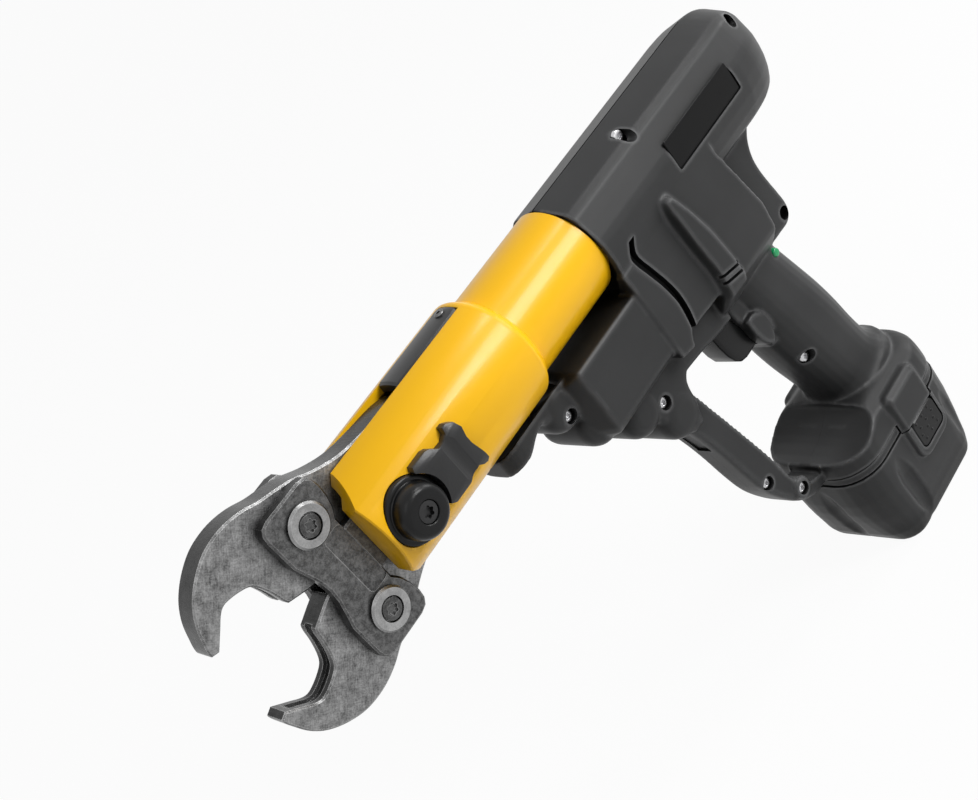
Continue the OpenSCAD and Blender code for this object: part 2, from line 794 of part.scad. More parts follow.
carrier_t = 3;
module planet_carrier() color("steelblue") on_barrel() on_motor() {
    difference() {
        bar_x(orbit_r + planet_pin_r + ring_wall, gear_x - free_gap - carrier_t, gear_x - free_gap);
        bar_x(shaft_d / 2 + run_gap, gear_x - free_gap - ring_wall / 2, gear_x + over);
    }
    for (i = [0:planet_count - 1])
        rotate([360 * i / planet_count, 0, 0]) translate([0, orbit_r, 0])
            bar_x(planet_pin_r, gear_x - free_gap - carrier_t, gear_x + gear_w);
    bar_x(shaft_d, cam_x - cam_len, gear_x - free_gap - carrier_t);
    translate([0, 0, throw]) bar_x(lobe_cam_r, cam_x - cam_len / 2, cam_x + cam_len / 2);
}

module planet_gear(i) {
    color("peru") on_barrel() on_motor()
        rotate([360 * i / planet_count, 0, 0]) translate([0, orbit_r, 0]) difference() {
            section(gear_x, gear_x + gear_w)
                gear_outline(planet_teeth, gear_module, add_share, ded_share);
            bar_x(planet_pin_r + run_gap, gear_x - over, gear_x + gear_w + over);
        }
}

board_t = 1.6;
board_inset = 8;
module control_board() color([0.05, 0.35, 0.15]) on_barrel() intersection() {
    handle_bar(handle_wall + free_gap);
    on_handle() translate([board_inset - handle_d / 2, -handle_w / 2, -handle_len / 3])
        cube([board_t, handle_w, handle_len / 2]);
}

switch_len = 18;
switch_x = -boss_fwd - boss_step - trigger_travel - free_gap;
module switch_body() color([0.2, 0.2, 0.2]) on_barrel() intersection() {
    handle_bar(handle_wall + 2 * run_gap);
    block([switch_x - switch_len, -handle_w / 2, -boss_drop + end_wall + free_gap],
        [switch_x, handle_w / 2, -belt_drop - seat_gap]);
}

module contact_block() color([0.25, 0.25, 0.27]) on_barrel() {
    z = rim_z + tower_h + seat_gap;
    block([battery_x - tower_len / 2, -tower_w / 2, z + free_gap],
        [battery_x + tower_len / 2, tower_w / 2, z + end_wall - seat_gap]);
}

trigger_front = 36;
trigger_spring_r = 3;
trigger_wire = 0.8;
trigger_spring_len = 15;
spring_turns = 5;
trigger_rear = -boss_fwd - boss_step;
trigger_z = -belt_drop - boss_step;
module trigger() color([0.1, 0.1, 0.1]) on_barrel() difference() {
    slab(-trigger_w / 2, trigger_w / 2) polygon([
        [trigger_rear, -belt_drop - end_wall], [-trigger_front, -belt_drop - end_wall],
        [-trigger_front + end_wall / 2, trigger_z], [-trigger_front - end_wall / 2, -boss_drop + boss_step],
        [-boss_fwd + end_wall, -boss_drop + 2 * end_wall], [trigger_rear, -boss_drop + 2 * end_wall]]);
    translate([0, 0, trigger_z])
        bar_x(trigger_spring_r + trigger_wire, trigger_rear - over, switch_x + trigger_spring_len);
}

module trigger_spring() color("gray") on_barrel()
    translate([switch_x + seat_gap, 0, trigger_z]) rotate([0, 90, 0])
        coil(trigger_spring_r, trigger_wire, trigger_spring_len - 2 * seat_gap, spring_turns);

module fork_head() color([0.98, 0.75, 0.05]) on_barrel() difference() {
    intersection() {
        bar_x(head_r, head_back, head_reach);
        slab(-far, far) polygon([
            [head_back, -head_r], [head_reach - nose_cut, -head_r], [head_reach, nose_cut - head_r],
            [head_reach, head_r - nose_cut], [head_reach - nose_cut, head_r], [head_back, head_r]]);
    }
    bar_x(tube_r + run_gap, head_back - over, ring_reach);
    bar_x(head_bore_r, ring_reach - free_gap, strip_x);
    intersection() {
        bar_x(head_bore_r, strip_x - over, head_reach + over);
        block([strip_x - over, -fork_w / 2, -far], [far, fork_w / 2, far]);
    }
    block([slot_x, -slot_w / 2, -far], [far, slot_w / 2, far]);
    bar_y(pin_r + run_gap, pin_x, 0, -far, far);
    bar_y(flange_d / 2 + free_gap, pin_x, 0, knob_seat, far);
    bar_y(flange_d / 2 + free_gap, pin_x, 0, -far, -knob_seat);
    slab(knob_seat, far) latch_plan(latch_travel + free_gap, free_gap);
}

module slot_strips() color([0.1, 0.1, 0.1]) on_barrel()
    for (side = [0, 180]) rotate([side, 0, 0]) intersection() {
        difference() {
            bar_x(head_r + strip_rise, slot_x + seat_gap, strip_x);
            bar_x(head_bore_r + seat_gap, slot_x - over, strip_x + over);
        }
        block([slot_x, seat_gap - slot_w / 2, 0], [strip_x, slot_w / 2 - seat_gap, far]);
    }

module strip_screws() color("dimgray") on_barrel()
    for (side = [0, 180]) rotate([side, 0, 0]) intersection() {
        bar_z(strip_screw_d / 2, slot_x + strip_screw_d, 0, head_r + strip_rise + seat_gap, far);
        translate([slot_x + strip_screw_d, 0, head_r + strip_rise - strip_screw_d / 2])
            sphere(r = strip_screw_d * dome_share);
    }

latch_x = pin_x - flange_d / 2 - free_gap;
latch_rear = latch_x - latch_len;
latch_spring_len = 13;
latch_spring_r = 1.3;
latch_wire = 0.5;
shoulder_share = 0.72;
tongue_share = 1.25;
latch_y = knob_seat + free_gap;

// Flat outline of the latch: thumb ears, body and shoulders, drawn out to the rear and grown sideways
module latch_plan(back, grow) {
    for (p = [[0, latch_len / 4, latch_h / 2], [latch_t, latch_len, latch_h / 4],
        [latch_len * shoulder_share, latch_len * tongue_share, latch_h / 3]])
        translate([latch_rear + p[0] - back, -p[2] - grow]) square([p[1] - p[0] + back + grow, 2 * (p[2] + grow)]);
}

module pin_latch() color([0.1, 0.1, 0.1]) on_barrel() difference() {
    intersection() {
        slab(latch_y, latch_y + latch_t) latch_plan(0, 0);
        bar_x(head_r + latch_t, head_back, head_reach);
    }
    bar_y(flange_d / 2 + free_gap, pin_x, 0, 0, far);
    translate([0, latch_y + latch_t / 2, 0])
        bar_x(latch_spring_r + latch_wire, latch_rear - over, latch_spring_rear + latch_spring_len);
}

latch_spring_rear = latch_rear - latch_travel - free_gap;
module latch_spring() color("gray") on_barrel()
    translate([latch_spring_rear + seat_gap, latch_y + latch_t / 2, 0]) rotate([0, 90, 0])
        coil(latch_spring_r, latch_wire, latch_spring_len - 2 * seat_gap, spring_turns);

module holding_pin() color("silver") on_barrel() difference() {
    bar_y(pin_r, pin_x, 0, -knob_seat, knob_seat + flange_t);
    bar_y(screw_d / 2 + seat_gap, pin_x, 0, 0, far);
}

module pin_knob() color([0.12, 0.12, 0.12]) on_barrel() difference() {
    union() {
        bar_y(flange_d / 2, pin_x, 0, knob_seat + seat_gap, knob_seat + flange_t);
        translate([pin_x, knob_seat + flange_t, 0]) rotate([-90, 0, 0])
            cylinder(r1 = knob_d / 2, r2 = knob_d / 2 - flange_t / 2, h = knob_h);
    }
    bar_y(pin_r + seat_gap, pin_x, 0, 0, knob_seat + flange_t + seat_gap);
    bar_y(screw_d / 2 + seat_gap, pin_x, 0, 0, far);
    bar_y(screw_head_d * boss_share + seat_gap, pin_x, 0, knob_top - screw_d, far);
}

module knob_screw() color("dimgray") on_barrel() difference() {
    union() {
        bar_y(screw_d / 2, pin_x, 0, free_gap, knob_top - screw_d + seat_gap);
        bar_y(screw_head_d * boss_share, pin_x, 0, knob_top - screw_d + seat_gap, knob_top - seat_gap);
    }
    bar_y(screw_d / 2, pin_x, 0, knob_top - screw_d / 2, far);
}

module piston() color("silver") on_barrel() difference() {
    union() {
        bar_x(bore_r - run_gap, piston_reach, spring_seat);
        bar_x(rod_d / 2, piston_reach, carriage_x);
    }
    difference() {
        bar_x(bore_r + over, seal_x, seal_x + seal_w);
        bar_x(bore_r - seal_w, seal_x - over, seal_x + seal_w + over);
    }
}

seal_w = 3;
seal_x = piston_reach + (piston_len - seal_w) / 2;
module piston_seal() color([0.1, 0.1, 0.1]) on_barrel() difference() {
    bar_x(bore_r - run_gap, seal_x + seat_gap, seal_x + seal_w - seat_gap);
    bar_x(bore_r - seal_w + seat_gap, seal_x - over, seal_x + seal_w + over);
}

carriage_x = tube_len + free_gap;
carriage_t = 3;
cheek_y = jaw_t / 2 + free_gap;
module roller_carriage() color("gray") on_barrel() difference() {
    union() {
        intersection() {
            bar_x(bore_r, carriage_x + seat_gap, carriage_x + carriage_t);
            block([carriage_x, -cheek_y - cheek_t, -bore_r], [far, cheek_y + cheek_t, bore_r]);
        }
        for (side = [-1, 1], y = [-1, 1]) {
            slab(y > 0 ? cheek_y : -cheek_y - cheek_t, y > 0 ? cheek_y + cheek_t : -cheek_y) union() {
                translate([roller_reach, side * roller_z]) circle(r = nose_r);
                translate([carriage_x + carriage_t / 2, side * roller_z - nose_r])
                    square([roller_reach - carriage_x - carriage_t / 2, 2 * nose_r]);
            }
        }
    }
    for (side = [-1, 1])
        bar_y(roller_pin_d / 2 + seat_gap, roller_reach, side * roller_z, -far, far);
}

module roller_pins() color("silver") on_barrel()
    for (side = [-1, 1])
        bar_y(roller_pin_d / 2, roller_reach, side * roller_z, -cheek_y - cheek_t, cheek_y + cheek_t);

module press_roller(side) {
    color("lightgray") on_barrel() difference() {
        bar_y(roller_r, roller_reach, side * roller_z, -roller_w / 2, roller_w / 2);
        bar_y(roller_pin_d / 2 + run_gap, roller_reach, side * roller_z, -far, far);
    }
}

// Side plate outline: two lobes round the jaw pins, a waist and the tongue
lobe_half = 15.5;
lobe_fwd = 17;
plate_lobe_r = 6;
waist_front = 13.7;
waist_half = 20;
plate_label = 0.6;
module plate_outline() {
    plate_rear = head_reach + free_gap;
    for (side = [-1, 1]) hull() {
        for (p = [[plate_lobe_r - lobe_half, lobe_half - plate_lobe_r],
            [lobe_fwd - plate_lobe_r, lobe_half - plate_lobe_r], [lobe_fwd - plate_lobe_r, -lobe_half / 2]])
            translate([jaw_x + p[0], side * (jaw_half + p[1])]) circle(r = plate_lobe_r, $fn = 32);
        translate([plate_rear, side * waist_half - free_gap / 2])
            square([jaw_x + waist_front - plate_rear, free_gap]);
    }
    translate([plate_rear, -waist_half]) square([jaw_x + waist_front - plate_rear, 2 * waist_half]);
    circle_at(pin_x, tongue_r);
    translate([pin_x, -tongue_r]) square([plate_rear - pin_x + over, 2 * tongue_r]);
}

module circle_at(x, r) {
    translate([x, 0]) circle(r = r);
}

module side_plate(side) {
    difference() {
        slab(side > 0 ? plate_y : -plate_out, side > 0 ? plate_out : -plate_y) plate_outline();
        bar_y(pin_r + run_gap, pin_x, 0, -far, far);
        for (z = [-1, 1]) bar_y(jaw_pin_d / 2 + seat_gap, jaw_x, z * jaw_half, -far, far);
        block([head_reach, side > 0 ? plate_out - plate_label : -far, -waist_half + plate_t / 2],
            [jaw_x - free_gap, side > 0 ? far : plate_label - plate_out, waist_half - plate_t / 2]);
    }
}

module left_plate() color("darkgray") on_barrel() side_plate(1);

module right_plate() color("darkgray") on_barrel() side_plate(-1);

module jaw_pins() color("silver") on_barrel()
    for (z = [-1, 1]) difference() {
        bar_y(jaw_pin_d / 2, jaw_x, z * jaw_half, -plate_out, plate_out);
        for (side = [-1, 1])
            bar_y(screw_d / 2 + seat_gap, jaw_x, z * jaw_half,
                side > 0 ? plate_y : -far, side > 0 ? far : -plate_y);
    }

module pin_washers() color("lightgray") on_barrel()
    for (z = [-1, 1], side = [-1, 1]) difference() {
        bar_y(washer_d / 2, jaw_x, z * jaw_half,
            side > 0 ? plate_out + seat_gap : -plate_out - washer_t,
            side > 0 ? plate_out + washer_t : -plate_out - seat_gap);
        bar_y(screw_head_d, jaw_x, z * jaw_half,
            side > 0 ? plate_out + washer_t / 2 : -far,
            side > 0 ? far : -plate_out - washer_t / 2);
        bar_y(screw_d / 2 + seat_gap, jaw_x, z * jaw_half, -far, far);
    }

module washer_screws() color("dimgray") on_barrel()
    for (z = [-1, 1], side = [-1, 1])
        translate([jaw_x, 0, z * jaw_half]) rotate([side > 0 ? 0 : 180, 0, 0]) difference() {
            union() {
                bar_y(screw_d / 2, 0, 0, plate_y + seat_gap, plate_out + washer_t / 2 + seat_gap);
                bar_y(screw_head_d - seat_gap, 0, 0,
                    plate_out + washer_t / 2 + seat_gap, plate_out + washer_t - seat_gap);
            }
            bar_y(screw_d / 2, 0, 0, plate_out + washer_t * boss_share, far);
        }

// Upper jaw in its closed place, seen from the side
jaw_meet = 0.5;
jaw_boss_r = 18.5;
boss_blend_r = jaw_boss_r - free_gap;
nose_fwd = 18.5;
stop_fwd = 7;
nose_up = 5;
tip_fwd = 56.6;
tail_end_t = 7;
tail_waist_share = 0.62;
tail_rise_share = 0.95;
neck_share = 0.6;
tail_start_share = 0.1;
module jaw_nose() {
    difference() {
        union() {
            translate([jaw_x, jaw_half]) circle(r = jaw_boss_r);
            intersection() {
                translate([jaw_x + nose_fwd, nose_up]) circle(r = jaw_nose_r);
                union() {
                    translate([jaw_x + stop_fwd, jaw_meet]) square([tip_fwd - stop_fwd, far]);
                    translate([jaw_x, jaw_half - boss_blend_r]) square([tip_fwd, far]);
                }
            }
        }
        translate([contour_x, 0]) circle(r = contour_r);
    }
}

// Upper jaw in its open place, seen from the side
cam_steps = 8;
module jaw_outline() {
    translate([jaw_x, jaw_half]) rotate(open_angle) translate([-jaw_x, -jaw_half]) jaw_nose();
    polygon(concat(
        [[jaw_x, jaw_half + boss_blend_r], [jaw_x - jaw_boss_r, jaw_half + jaw_boss_r * neck_share],
            [jaw_x - tail_len * tail_waist_share, head_r * tail_rise_share],
            [jaw_x - tail_len, cam_face(tail_start_share)[1] + tail_end_t]],
        [for (i = [1:cam_steps]) cam_face(i / cam_steps)],
        [[jaw_x - jaw_boss_r, pin_r + 2 * free_gap], [jaw_x, jaw_half - boss_blend_r]]));
}

module jaw() {
    difference() {
        slab(-jaw_t / 2, jaw_t / 2) jaw_outline();
        bar_y(jaw_pin_d / 2 + run_gap, jaw_x, jaw_half, -far, far);
        bar_y(pin_r + free_gap, pin_x, 0, -far, far);
    }
}

module upper_jaw() color("darkgray") on_barrel() jaw();

module lower_jaw() color("darkgray") on_barrel() mirror([0, 0, 1]) jaw();

// Outer form of the battery
module battery_form() {
    intersection() {
        translate([battery_x, 0, base_z]) linear_extrude(battery_h)
            round_rect(battery_len, battery_w, battery_r);
        translate([battery_x, 0, 0]) slab(-battery_w, battery_w) polygon([
            [-base_len / 2, base_z], [base_len / 2, base_z], [battery_len / 2, waist_z],
            [battery_len / 2, rim_z], [-battery_len / 2, rim_z], [-battery_len / 2, waist_z]]);
        section(battery_x - battery_len, battery_x + battery_len) polygon([
            [-base_w / 2, base_z], [base_w / 2, base_z], [battery_w / 2, waist_z],
            [battery_w / 2, rim_z], [-battery_w / 2, rim_z], [-battery_w / 2, waist_z]]);
    }
}

lid_t = 5;
lid_z = rim_z - lid_t;
post_r = 3.9;
post_inset = 3.2;
hollow_half_len = base_len / 2 - battery_wall;
hollow_half_w = base_w / 2 - battery_wall;
cell_len = 2 * (hollow_half_len - cell_room);
module battery_hollow() {
    difference() {
        block([battery_x - hollow_half_len, -hollow_half_w, base_z + battery_wall],
            [battery_x + hollow_half_len, hollow_half_w, lid_z + over]);
        at_battery_screws() bar_z(post_r, 0, 0, base_z, lid_z + 2 * over);
    }
}

well_depth = 2;
module button_pocket(side) {
    y = button_y - button_travel - free_gap;
    block([button_x - free_gap, side > 0 ? y : -battery_w, button_z - free_gap],
        [button_x + button_len + free_gap, side > 0 ? battery_w : -y, rim_z + over]);
    bar_y(button_spring_r + button_wire, button_x + button_len / 2, button_z + button_h / 2,
        side > 0 ? well_y : -button_y, side > 0 ? button_y : -well_y);
}

module battery_case() color([0.14, 0.14, 0.15]) on_barrel() difference() {
    intersection() {
        battery_form();
        block([-far, -far, base_z], [far, far, lid_z]);
    }
    battery_hollow();
    for (side = [-1, 1]) {
        button_pocket(side);
        for (s = [-1, 1])
            bar_z(groove_r, battery_x + s * base_len / 3 + groove_r,
                side * (battery_w / 2 + groove_r - groove_depth), base_z - over, waist_z + groove_r);
    }
    battery_screw_holes();
}

module battery_cover() color([0.15, 0.15, 0.16]) on_barrel() difference() {
    union() {
        intersection() {
            battery_form();
            block([-far, -far, lid_z + seat_gap], [far, far, rim_z]);
        }
        block([battery_x - tower_len / 2, -tower_w / 2, lid_z + seat_gap],
            [battery_x + tower_len / 2, tower_w / 2, rim_z + tower_h - free_gap]);
    }
    for (side = [-1, 1]) button_pocket(side);
    battery_screw_holes();
}

// Screws that hold the battery cover, at the corners of the flat base
module at_battery_screws() {
    for (x = [-1, 1], y = [-1, 1])
        translate([battery_x + x * (hollow_half_len - post_inset), y * (hollow_half_w - post_inset), 0])
            children();
}

module battery_screw_holes() {
    at_battery_screws() {
        bar_z(screw_d / 2 + seat_gap, 0, 0, base_z + lid_t, rim_z - battery_wall / 2);
        bar_z(screw_head_d / 2 + seat_gap, 0, 0, base_z - over, base_z + lid_t + seat_gap);
    }
}

module battery_screws() color("silver") on_barrel() at_battery_screws() {
    bar_z(screw_d / 2, 0, 0, base_z + lid_t, rim_z - battery_wall);
    bar_z(screw_head_d / 2, 0, 0, base_z + lid_t - screw_d / 2, base_z + lid_t);
}

module battery_cells() color([0.2, 0.45, 0.75]) on_barrel()
    for (y = [-1, 1], row = [0, 1]) {
        z = base_z + battery_wall + cell_d / 2 + seat_gap + row * (cell_d + seat_gap);
        translate([0, y * (cell_d / 2 + free_gap), z])
            bar_x(cell_d / 2, battery_x - cell_len / 2, battery_x + cell_len / 2);
    }

contact_t = 0.8;
module battery_contacts() color("gold") on_barrel()
    for (y = [-1, 0, 1])
        block([battery_x - tower_len / 4, y * tower_w / 4 - contact_t, rim_z + tower_h - free_gap + seat_gap],
            [battery_x + tower_len / 4, y * tower_w / 4 + contact_t, rim_z + tower_h]);

module battery_button(side) {
    block([button_x, side > 0 ? button_y : -button_y - button_t, button_z],
        [button_x + button_len, side > 0 ? button_y + button_t : -button_y, button_z + button_h]);
}

module left_button() color([0.1, 0.1, 0.1]) on_barrel() battery_button(1);

module right_button() color([0.1, 0.1, 0.1]) on_barrel() battery_button(-1);

button_spring_r = 2.6;
button_wire = 0.5;
button_turns = 2;
well_y = button_y - button_travel - free_gap - well_depth;
module button_spring(side) {
    translate([button_x + button_len / 2, side * (well_y + seat_gap), button_z + button_h / 2])
        rotate([-side * 90, 0, 0])
            coil(button_spring_r, button_wire, button_y - well_y - 2 * seat_gap, button_turns);
}

module left_button_spring() color("gray") on_barrel() button_spring(1);

module right_button_spring() color("gray") on_barrel() button_spring(-1);

left_housing();
right_housing();
housing_screws();
name_panels();
status_lamp();
press_cylinder();
retaining_ring();
cylinder_gland();
return_spring();
pump_block();
pump_plunger();
oil_reservoir();
motor_can();
motor_armature();
sun_gear();
ring_gear();
planet_carrier();
planet_gear(0);  // planet_gear_1
planet_gear(1);  // planet_gear_2
planet_gear(2);  // planet_gear_3
control_board();
switch_body();
contact_block();
trigger();
trigger_spring();
fork_head();
slot_strips();
strip_screws();
pin_latch();
latch_spring();
holding_pin();
pin_knob();
knob_screw();
piston();
piston_seal();
roller_carriage();
roller_pins();
press_roller(1);  // upper_roller
press_roller(-1);  // lower_roller
left_plate();
right_plate();
jaw_pins();
pin_washers();
washer_screws();
upper_jaw();
lower_jaw();
battery_case();
battery_cover();
battery_cells();
battery_contacts();
battery_screws();
left_button();
right_button();
left_button_spring();
right_button_spring();
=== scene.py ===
import json
import math
import bpy
from mathutils import Matrix, Vector


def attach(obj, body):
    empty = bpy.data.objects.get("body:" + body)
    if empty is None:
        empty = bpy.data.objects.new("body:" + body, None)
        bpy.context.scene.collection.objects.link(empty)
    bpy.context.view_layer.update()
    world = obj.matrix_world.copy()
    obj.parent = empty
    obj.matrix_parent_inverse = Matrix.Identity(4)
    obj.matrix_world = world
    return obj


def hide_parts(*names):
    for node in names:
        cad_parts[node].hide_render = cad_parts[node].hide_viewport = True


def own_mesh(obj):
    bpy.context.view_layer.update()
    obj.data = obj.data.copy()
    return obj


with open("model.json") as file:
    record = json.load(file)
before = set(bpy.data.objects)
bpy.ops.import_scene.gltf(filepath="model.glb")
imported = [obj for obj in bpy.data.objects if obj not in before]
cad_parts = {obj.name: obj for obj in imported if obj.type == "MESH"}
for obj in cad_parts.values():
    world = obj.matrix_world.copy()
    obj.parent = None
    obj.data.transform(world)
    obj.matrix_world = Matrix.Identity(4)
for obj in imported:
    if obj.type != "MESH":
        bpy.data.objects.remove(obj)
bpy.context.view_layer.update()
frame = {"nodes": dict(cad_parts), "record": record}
nodes = frame["nodes"]
print("frame loaded:", len(nodes), "nodes")


# wraps a node socket so that shader maths reads as sums
class Wire:
    def __init__(self, paint, out):
        self.paint = paint
        self.out = out

    def maths(self, operation, other=0.0, flip=False):
        pair = (other, self) if flip else (self, other)
        return self.paint.add("ShaderNodeMath", {"operation": operation}, {0: pair[0], 1: pair[1]})

    def __add__(self, other):
        return self.maths("ADD", other)

    def __radd__(self, other):
        return self.maths("ADD", other, True)

    def __sub__(self, other):
        return self.maths("SUBTRACT", other)

    def __rsub__(self, other):
        return self.maths("SUBTRACT", other, True)

    def __mul__(self, other):
        return self.maths("MULTIPLY", other)

    def __rmul__(self, other):
        return self.maths("MULTIPLY", other, True)

    def __pow__(self, other):
        return self.maths("POWER", other)


# a node tree that nodes are added to
class Net:
    def __init__(self, tree):
        self.tree = tree

    def add(self, kind, settings=None, values=None, out=0):
        node = self.tree.nodes.new(kind)
        for key, value in (settings or {}).items():
            if key == "stops":
                ramp = node.color_ramp
                while len(ramp.elements) < len(value):
                    ramp.elements.new(0.5)
                for element, (place, colour) in zip(ramp.elements, value):
                    element.position = place
                    element.color = (*colour, 1) if len(colour) == 3 else colour
            else:
                setattr(node, key, value)
        for key, value in (values or {}).items():
            self.feed(node.inputs[key], value)
        return Wire(self, node.outputs[out])

    def feed(self, socket, value):
        if isinstance(value, Wire):
            self.tree.links.new(value.out, socket)
        else:
            socket.default_value = value


# one material with its node tree
class Paint(Net):
    def __init__(self, name):
        self.material = bpy.data.materials.new(name)
        self.material.use_nodes = True
        super().__init__(self.material.node_tree)
        self.shader = self.tree.nodes["Principled BSDF"]

    def set(self, **values):
        for key, value in values.items():
            self.feed(self.shader.inputs[key.replace("_", " ")], value)
        return self

    def place(self, scale=(1, 1, 1), turn=(0, 0, 0)):
        coords = self.add("ShaderNodeTexCoord", out="Object")
        turned = self.add("ShaderNodeMapping", None, {"Vector": coords, "Rotation": turn})
        return self.add("ShaderNodeMapping", None, {"Vector": turned, "Scale": scale})

    def noise(self, scale, detail=4.0, rough=0.55, where=None):
        return self.add("ShaderNodeTexNoise", None, {
            "Vector": where or self.place(), "Scale": scale, "Detail": detail, "Roughness": rough}, out="Fac")

    def ramp(self, fac, *stops):
        return self.add("ShaderNodeValToRGB", {"stops": stops}, {"Fac": fac}, out="Color")

    def grey(self, fac, low, high):
        return self.add("ShaderNodeMapRange", None, {"Value": fac, "To Min": low, "To Max": high})

    def bump(self, height, strength, distance):
        return self.add("ShaderNodeBump", None, {"Height": height, "Strength": strength, "Distance": distance})


def edgeMask(paint, radius, low, high):
    soft = paint.add("ShaderNodeBevel", {"samples": 4}, {"Radius": radius})
    true = paint.add("ShaderNodeNewGeometry", out="Normal")
    along = paint.add("ShaderNodeVectorMath", {"operation": "DOT_PRODUCT"}, {0: soft, 1: true}, out="Value")
    return paint.add("ShaderNodeMapRange", None, {"Value": 1.0 - along, "From Min": low, "From Max": high})


def blend(paint, fac, first, second):
    return paint.add("ShaderNodeMix", {"data_type": "RGBA"}, {"Factor": fac, "A": first, "B": second}, out="Result")


# painted shade in hollows and paler open edges, partly wear and partly painted highlight, in metres and shares of its
# tone
paintedShadeAndWornSheen = {
    "hollowShadeReach": 0.02,
    "hollowShadeTone": 0.12,
    "edgeSheenReach": 0.003,
    "edgeSheenRange": (0.003, 0.045),
    "edgeSheenTone": 3.6,
    "seamRange": (0.0028, 0.0045),
}


# moulded plastic; with the last flag set, hollows get painted shade and open edges are paler, partly wear and partly
# painted highlight, but not along the seam
def mouldedBlack(name, tone, rough, grain, shine=0.3, paintShadeSheenAndWear=False):
    paint = Paint(name)
    fine = paint.noise(grain, 2.0)
    broad = paint.noise(18.0, 3.0)
    colour = paint.ramp(broad, (0.3, [c * 0.85 for c in tone]), (0.75, [c * 1.15 for c in tone]))
    if paintShadeSheenAndWear:
        # painted shade: occlusion darkens the base colour in hollows and creases
        clear = paint.add("ShaderNodeAmbientOcclusion", {"samples": 6}, {"Distance": paintedShadeAndWornSheen["hollowShadeReach"]}, out="AO")
        colour = blend(paint, clear * clear, [c * paintedShadeAndWornSheen["hollowShadeTone"] for c in tone] + [1], colour)
        # paler open edges: partly wear, partly painted highlight; kept off creases and the shell seam
        edges = edgeMask(paint, paintedShadeAndWornSheen["edgeSheenReach"], *paintedShadeAndWornSheen["edgeSheenRange"])
        across = paint.add("ShaderNodeSeparateXYZ", None, {"Vector": paint.place()}, out="Y")
        near, far = paintedShadeAndWornSheen["seamRange"]
        offSeam = paint.add("ShaderNodeMapRange", None, {
            "Value": across * across, "From Min": near ** 2, "From Max": far ** 2})
        colour = blend(paint, edges * clear ** 4 * offSeam, colour, [c * paintedShadeAndWornSheen["edgeSheenTone"] for c in tone] + [1])
    paint.set(Base_Color=colour, Roughness=paint.grey(broad, rough - 0.04, rough + 0.06),
              Normal=paint.bump(fine, 0.22, 0.0002))
    paint.shader.inputs["Specular IOR Level"].default_value = shine
    return paint.material


def enamel(name, tone):
    paint = Paint(name)
    peel = paint.noise(260.0, 2.0)
    drift = paint.noise(9.0, 2.0)
    colour = paint.ramp(drift, (0.25, [c * 0.94 for c in tone]), (0.8, tone))
    paint.set(Base_Color=colour, Roughness=paint.grey(peel, 0.28, 0.36), Normal=paint.bump(peel, 0.05, 0.0004))
    paint.shader.inputs["Specular IOR Level"].default_value = 0.24
    paint.shader.inputs["Coat Weight"].default_value = 0.12
    paint.shader.inputs["Coat Roughness"].default_value = 0.12
    return paint.material


# scaled steel: mottled patches, crossed scratches, edges worn bright and rims left dark
def forgedSteel(name, low, high, worn, rough, rim=None, scratch=0.0, grain=150.0):
    paint = Paint(name)
    mottle = paint.noise(grain, 8.0, 0.7)
    grit = paint.noise(1500.0, 3.0)
    mix = mottle * 0.7 + grit * 0.3
    height = grit * 0.4 + mottle * 0.6
    if scratch:
        for turn in (0.785, -0.785):
            lines = paint.noise(scratch, 3.0, 0.6, paint.place((1, 1, 7), (0, turn, 0)))
            mix = mix * 0.8 + lines * 0.2
            height = height + lines * 0.6
    colour = paint.ramp(mix, (0.4, [low] * 3), (0.5, [(low + high) / 2] * 3), (0.6, [high] * 3))
    level = paint.grey(mix, rough + 0.1, rough - 0.08)
    if rim:
        normal = paint.add("ShaderNodeTexCoord", out="Normal")
        facing = paint.add("ShaderNodeSeparateXYZ", None, {0: normal}, out="Y")
        side = paint.add("ShaderNodeMapRange", None, {
            "Value": facing.maths("ABSOLUTE"), "From Min": 0.35, "From Max": 0.8})
        flank = paint.ramp(mix, (0.4, [rim * 0.6] * 3), (0.6, [rim * 1.5] * 3))
        colour = blend(paint, side, flank, colour)
        level = level - (1.0 - side) * 0.16
    edges = edgeMask(paint, 0.0007, 0.04, 0.3)
    colour = blend(paint, edges * (0.35 + mottle * 0.9), colour, (worn, worn, worn, 1))
    paint.set(Base_Color=colour, Roughness=level, Metallic=1.0, Normal=paint.bump(height, 0.3, 0.0003))
    return paint.material


def satinSteel(name, tone, rough):
    paint = Paint(name)
    lines = paint.noise(90.0, 3.0, 0.6, paint.place((1, 18, 1)))
    paint.set(Base_Color=paint.ramp(lines, (0.2, [c * 0.8 for c in tone]), (0.8, tone)),
              Roughness=paint.grey(lines, rough - 0.06, rough + 0.08), Metallic=1.0)
    return paint.material


def clearLamp(name, tone):
    paint = Paint(name)
    core = paint.noise(900.0, 1.0)
    paint.set(Base_Color=paint.ramp(core, (0.2, [c * 0.7 for c in tone]), (0.8, tone)), Roughness=0.12)
    paint.set(Emission_Color=(*tone, 1), Emission_Strength=0.1)
    return paint.material


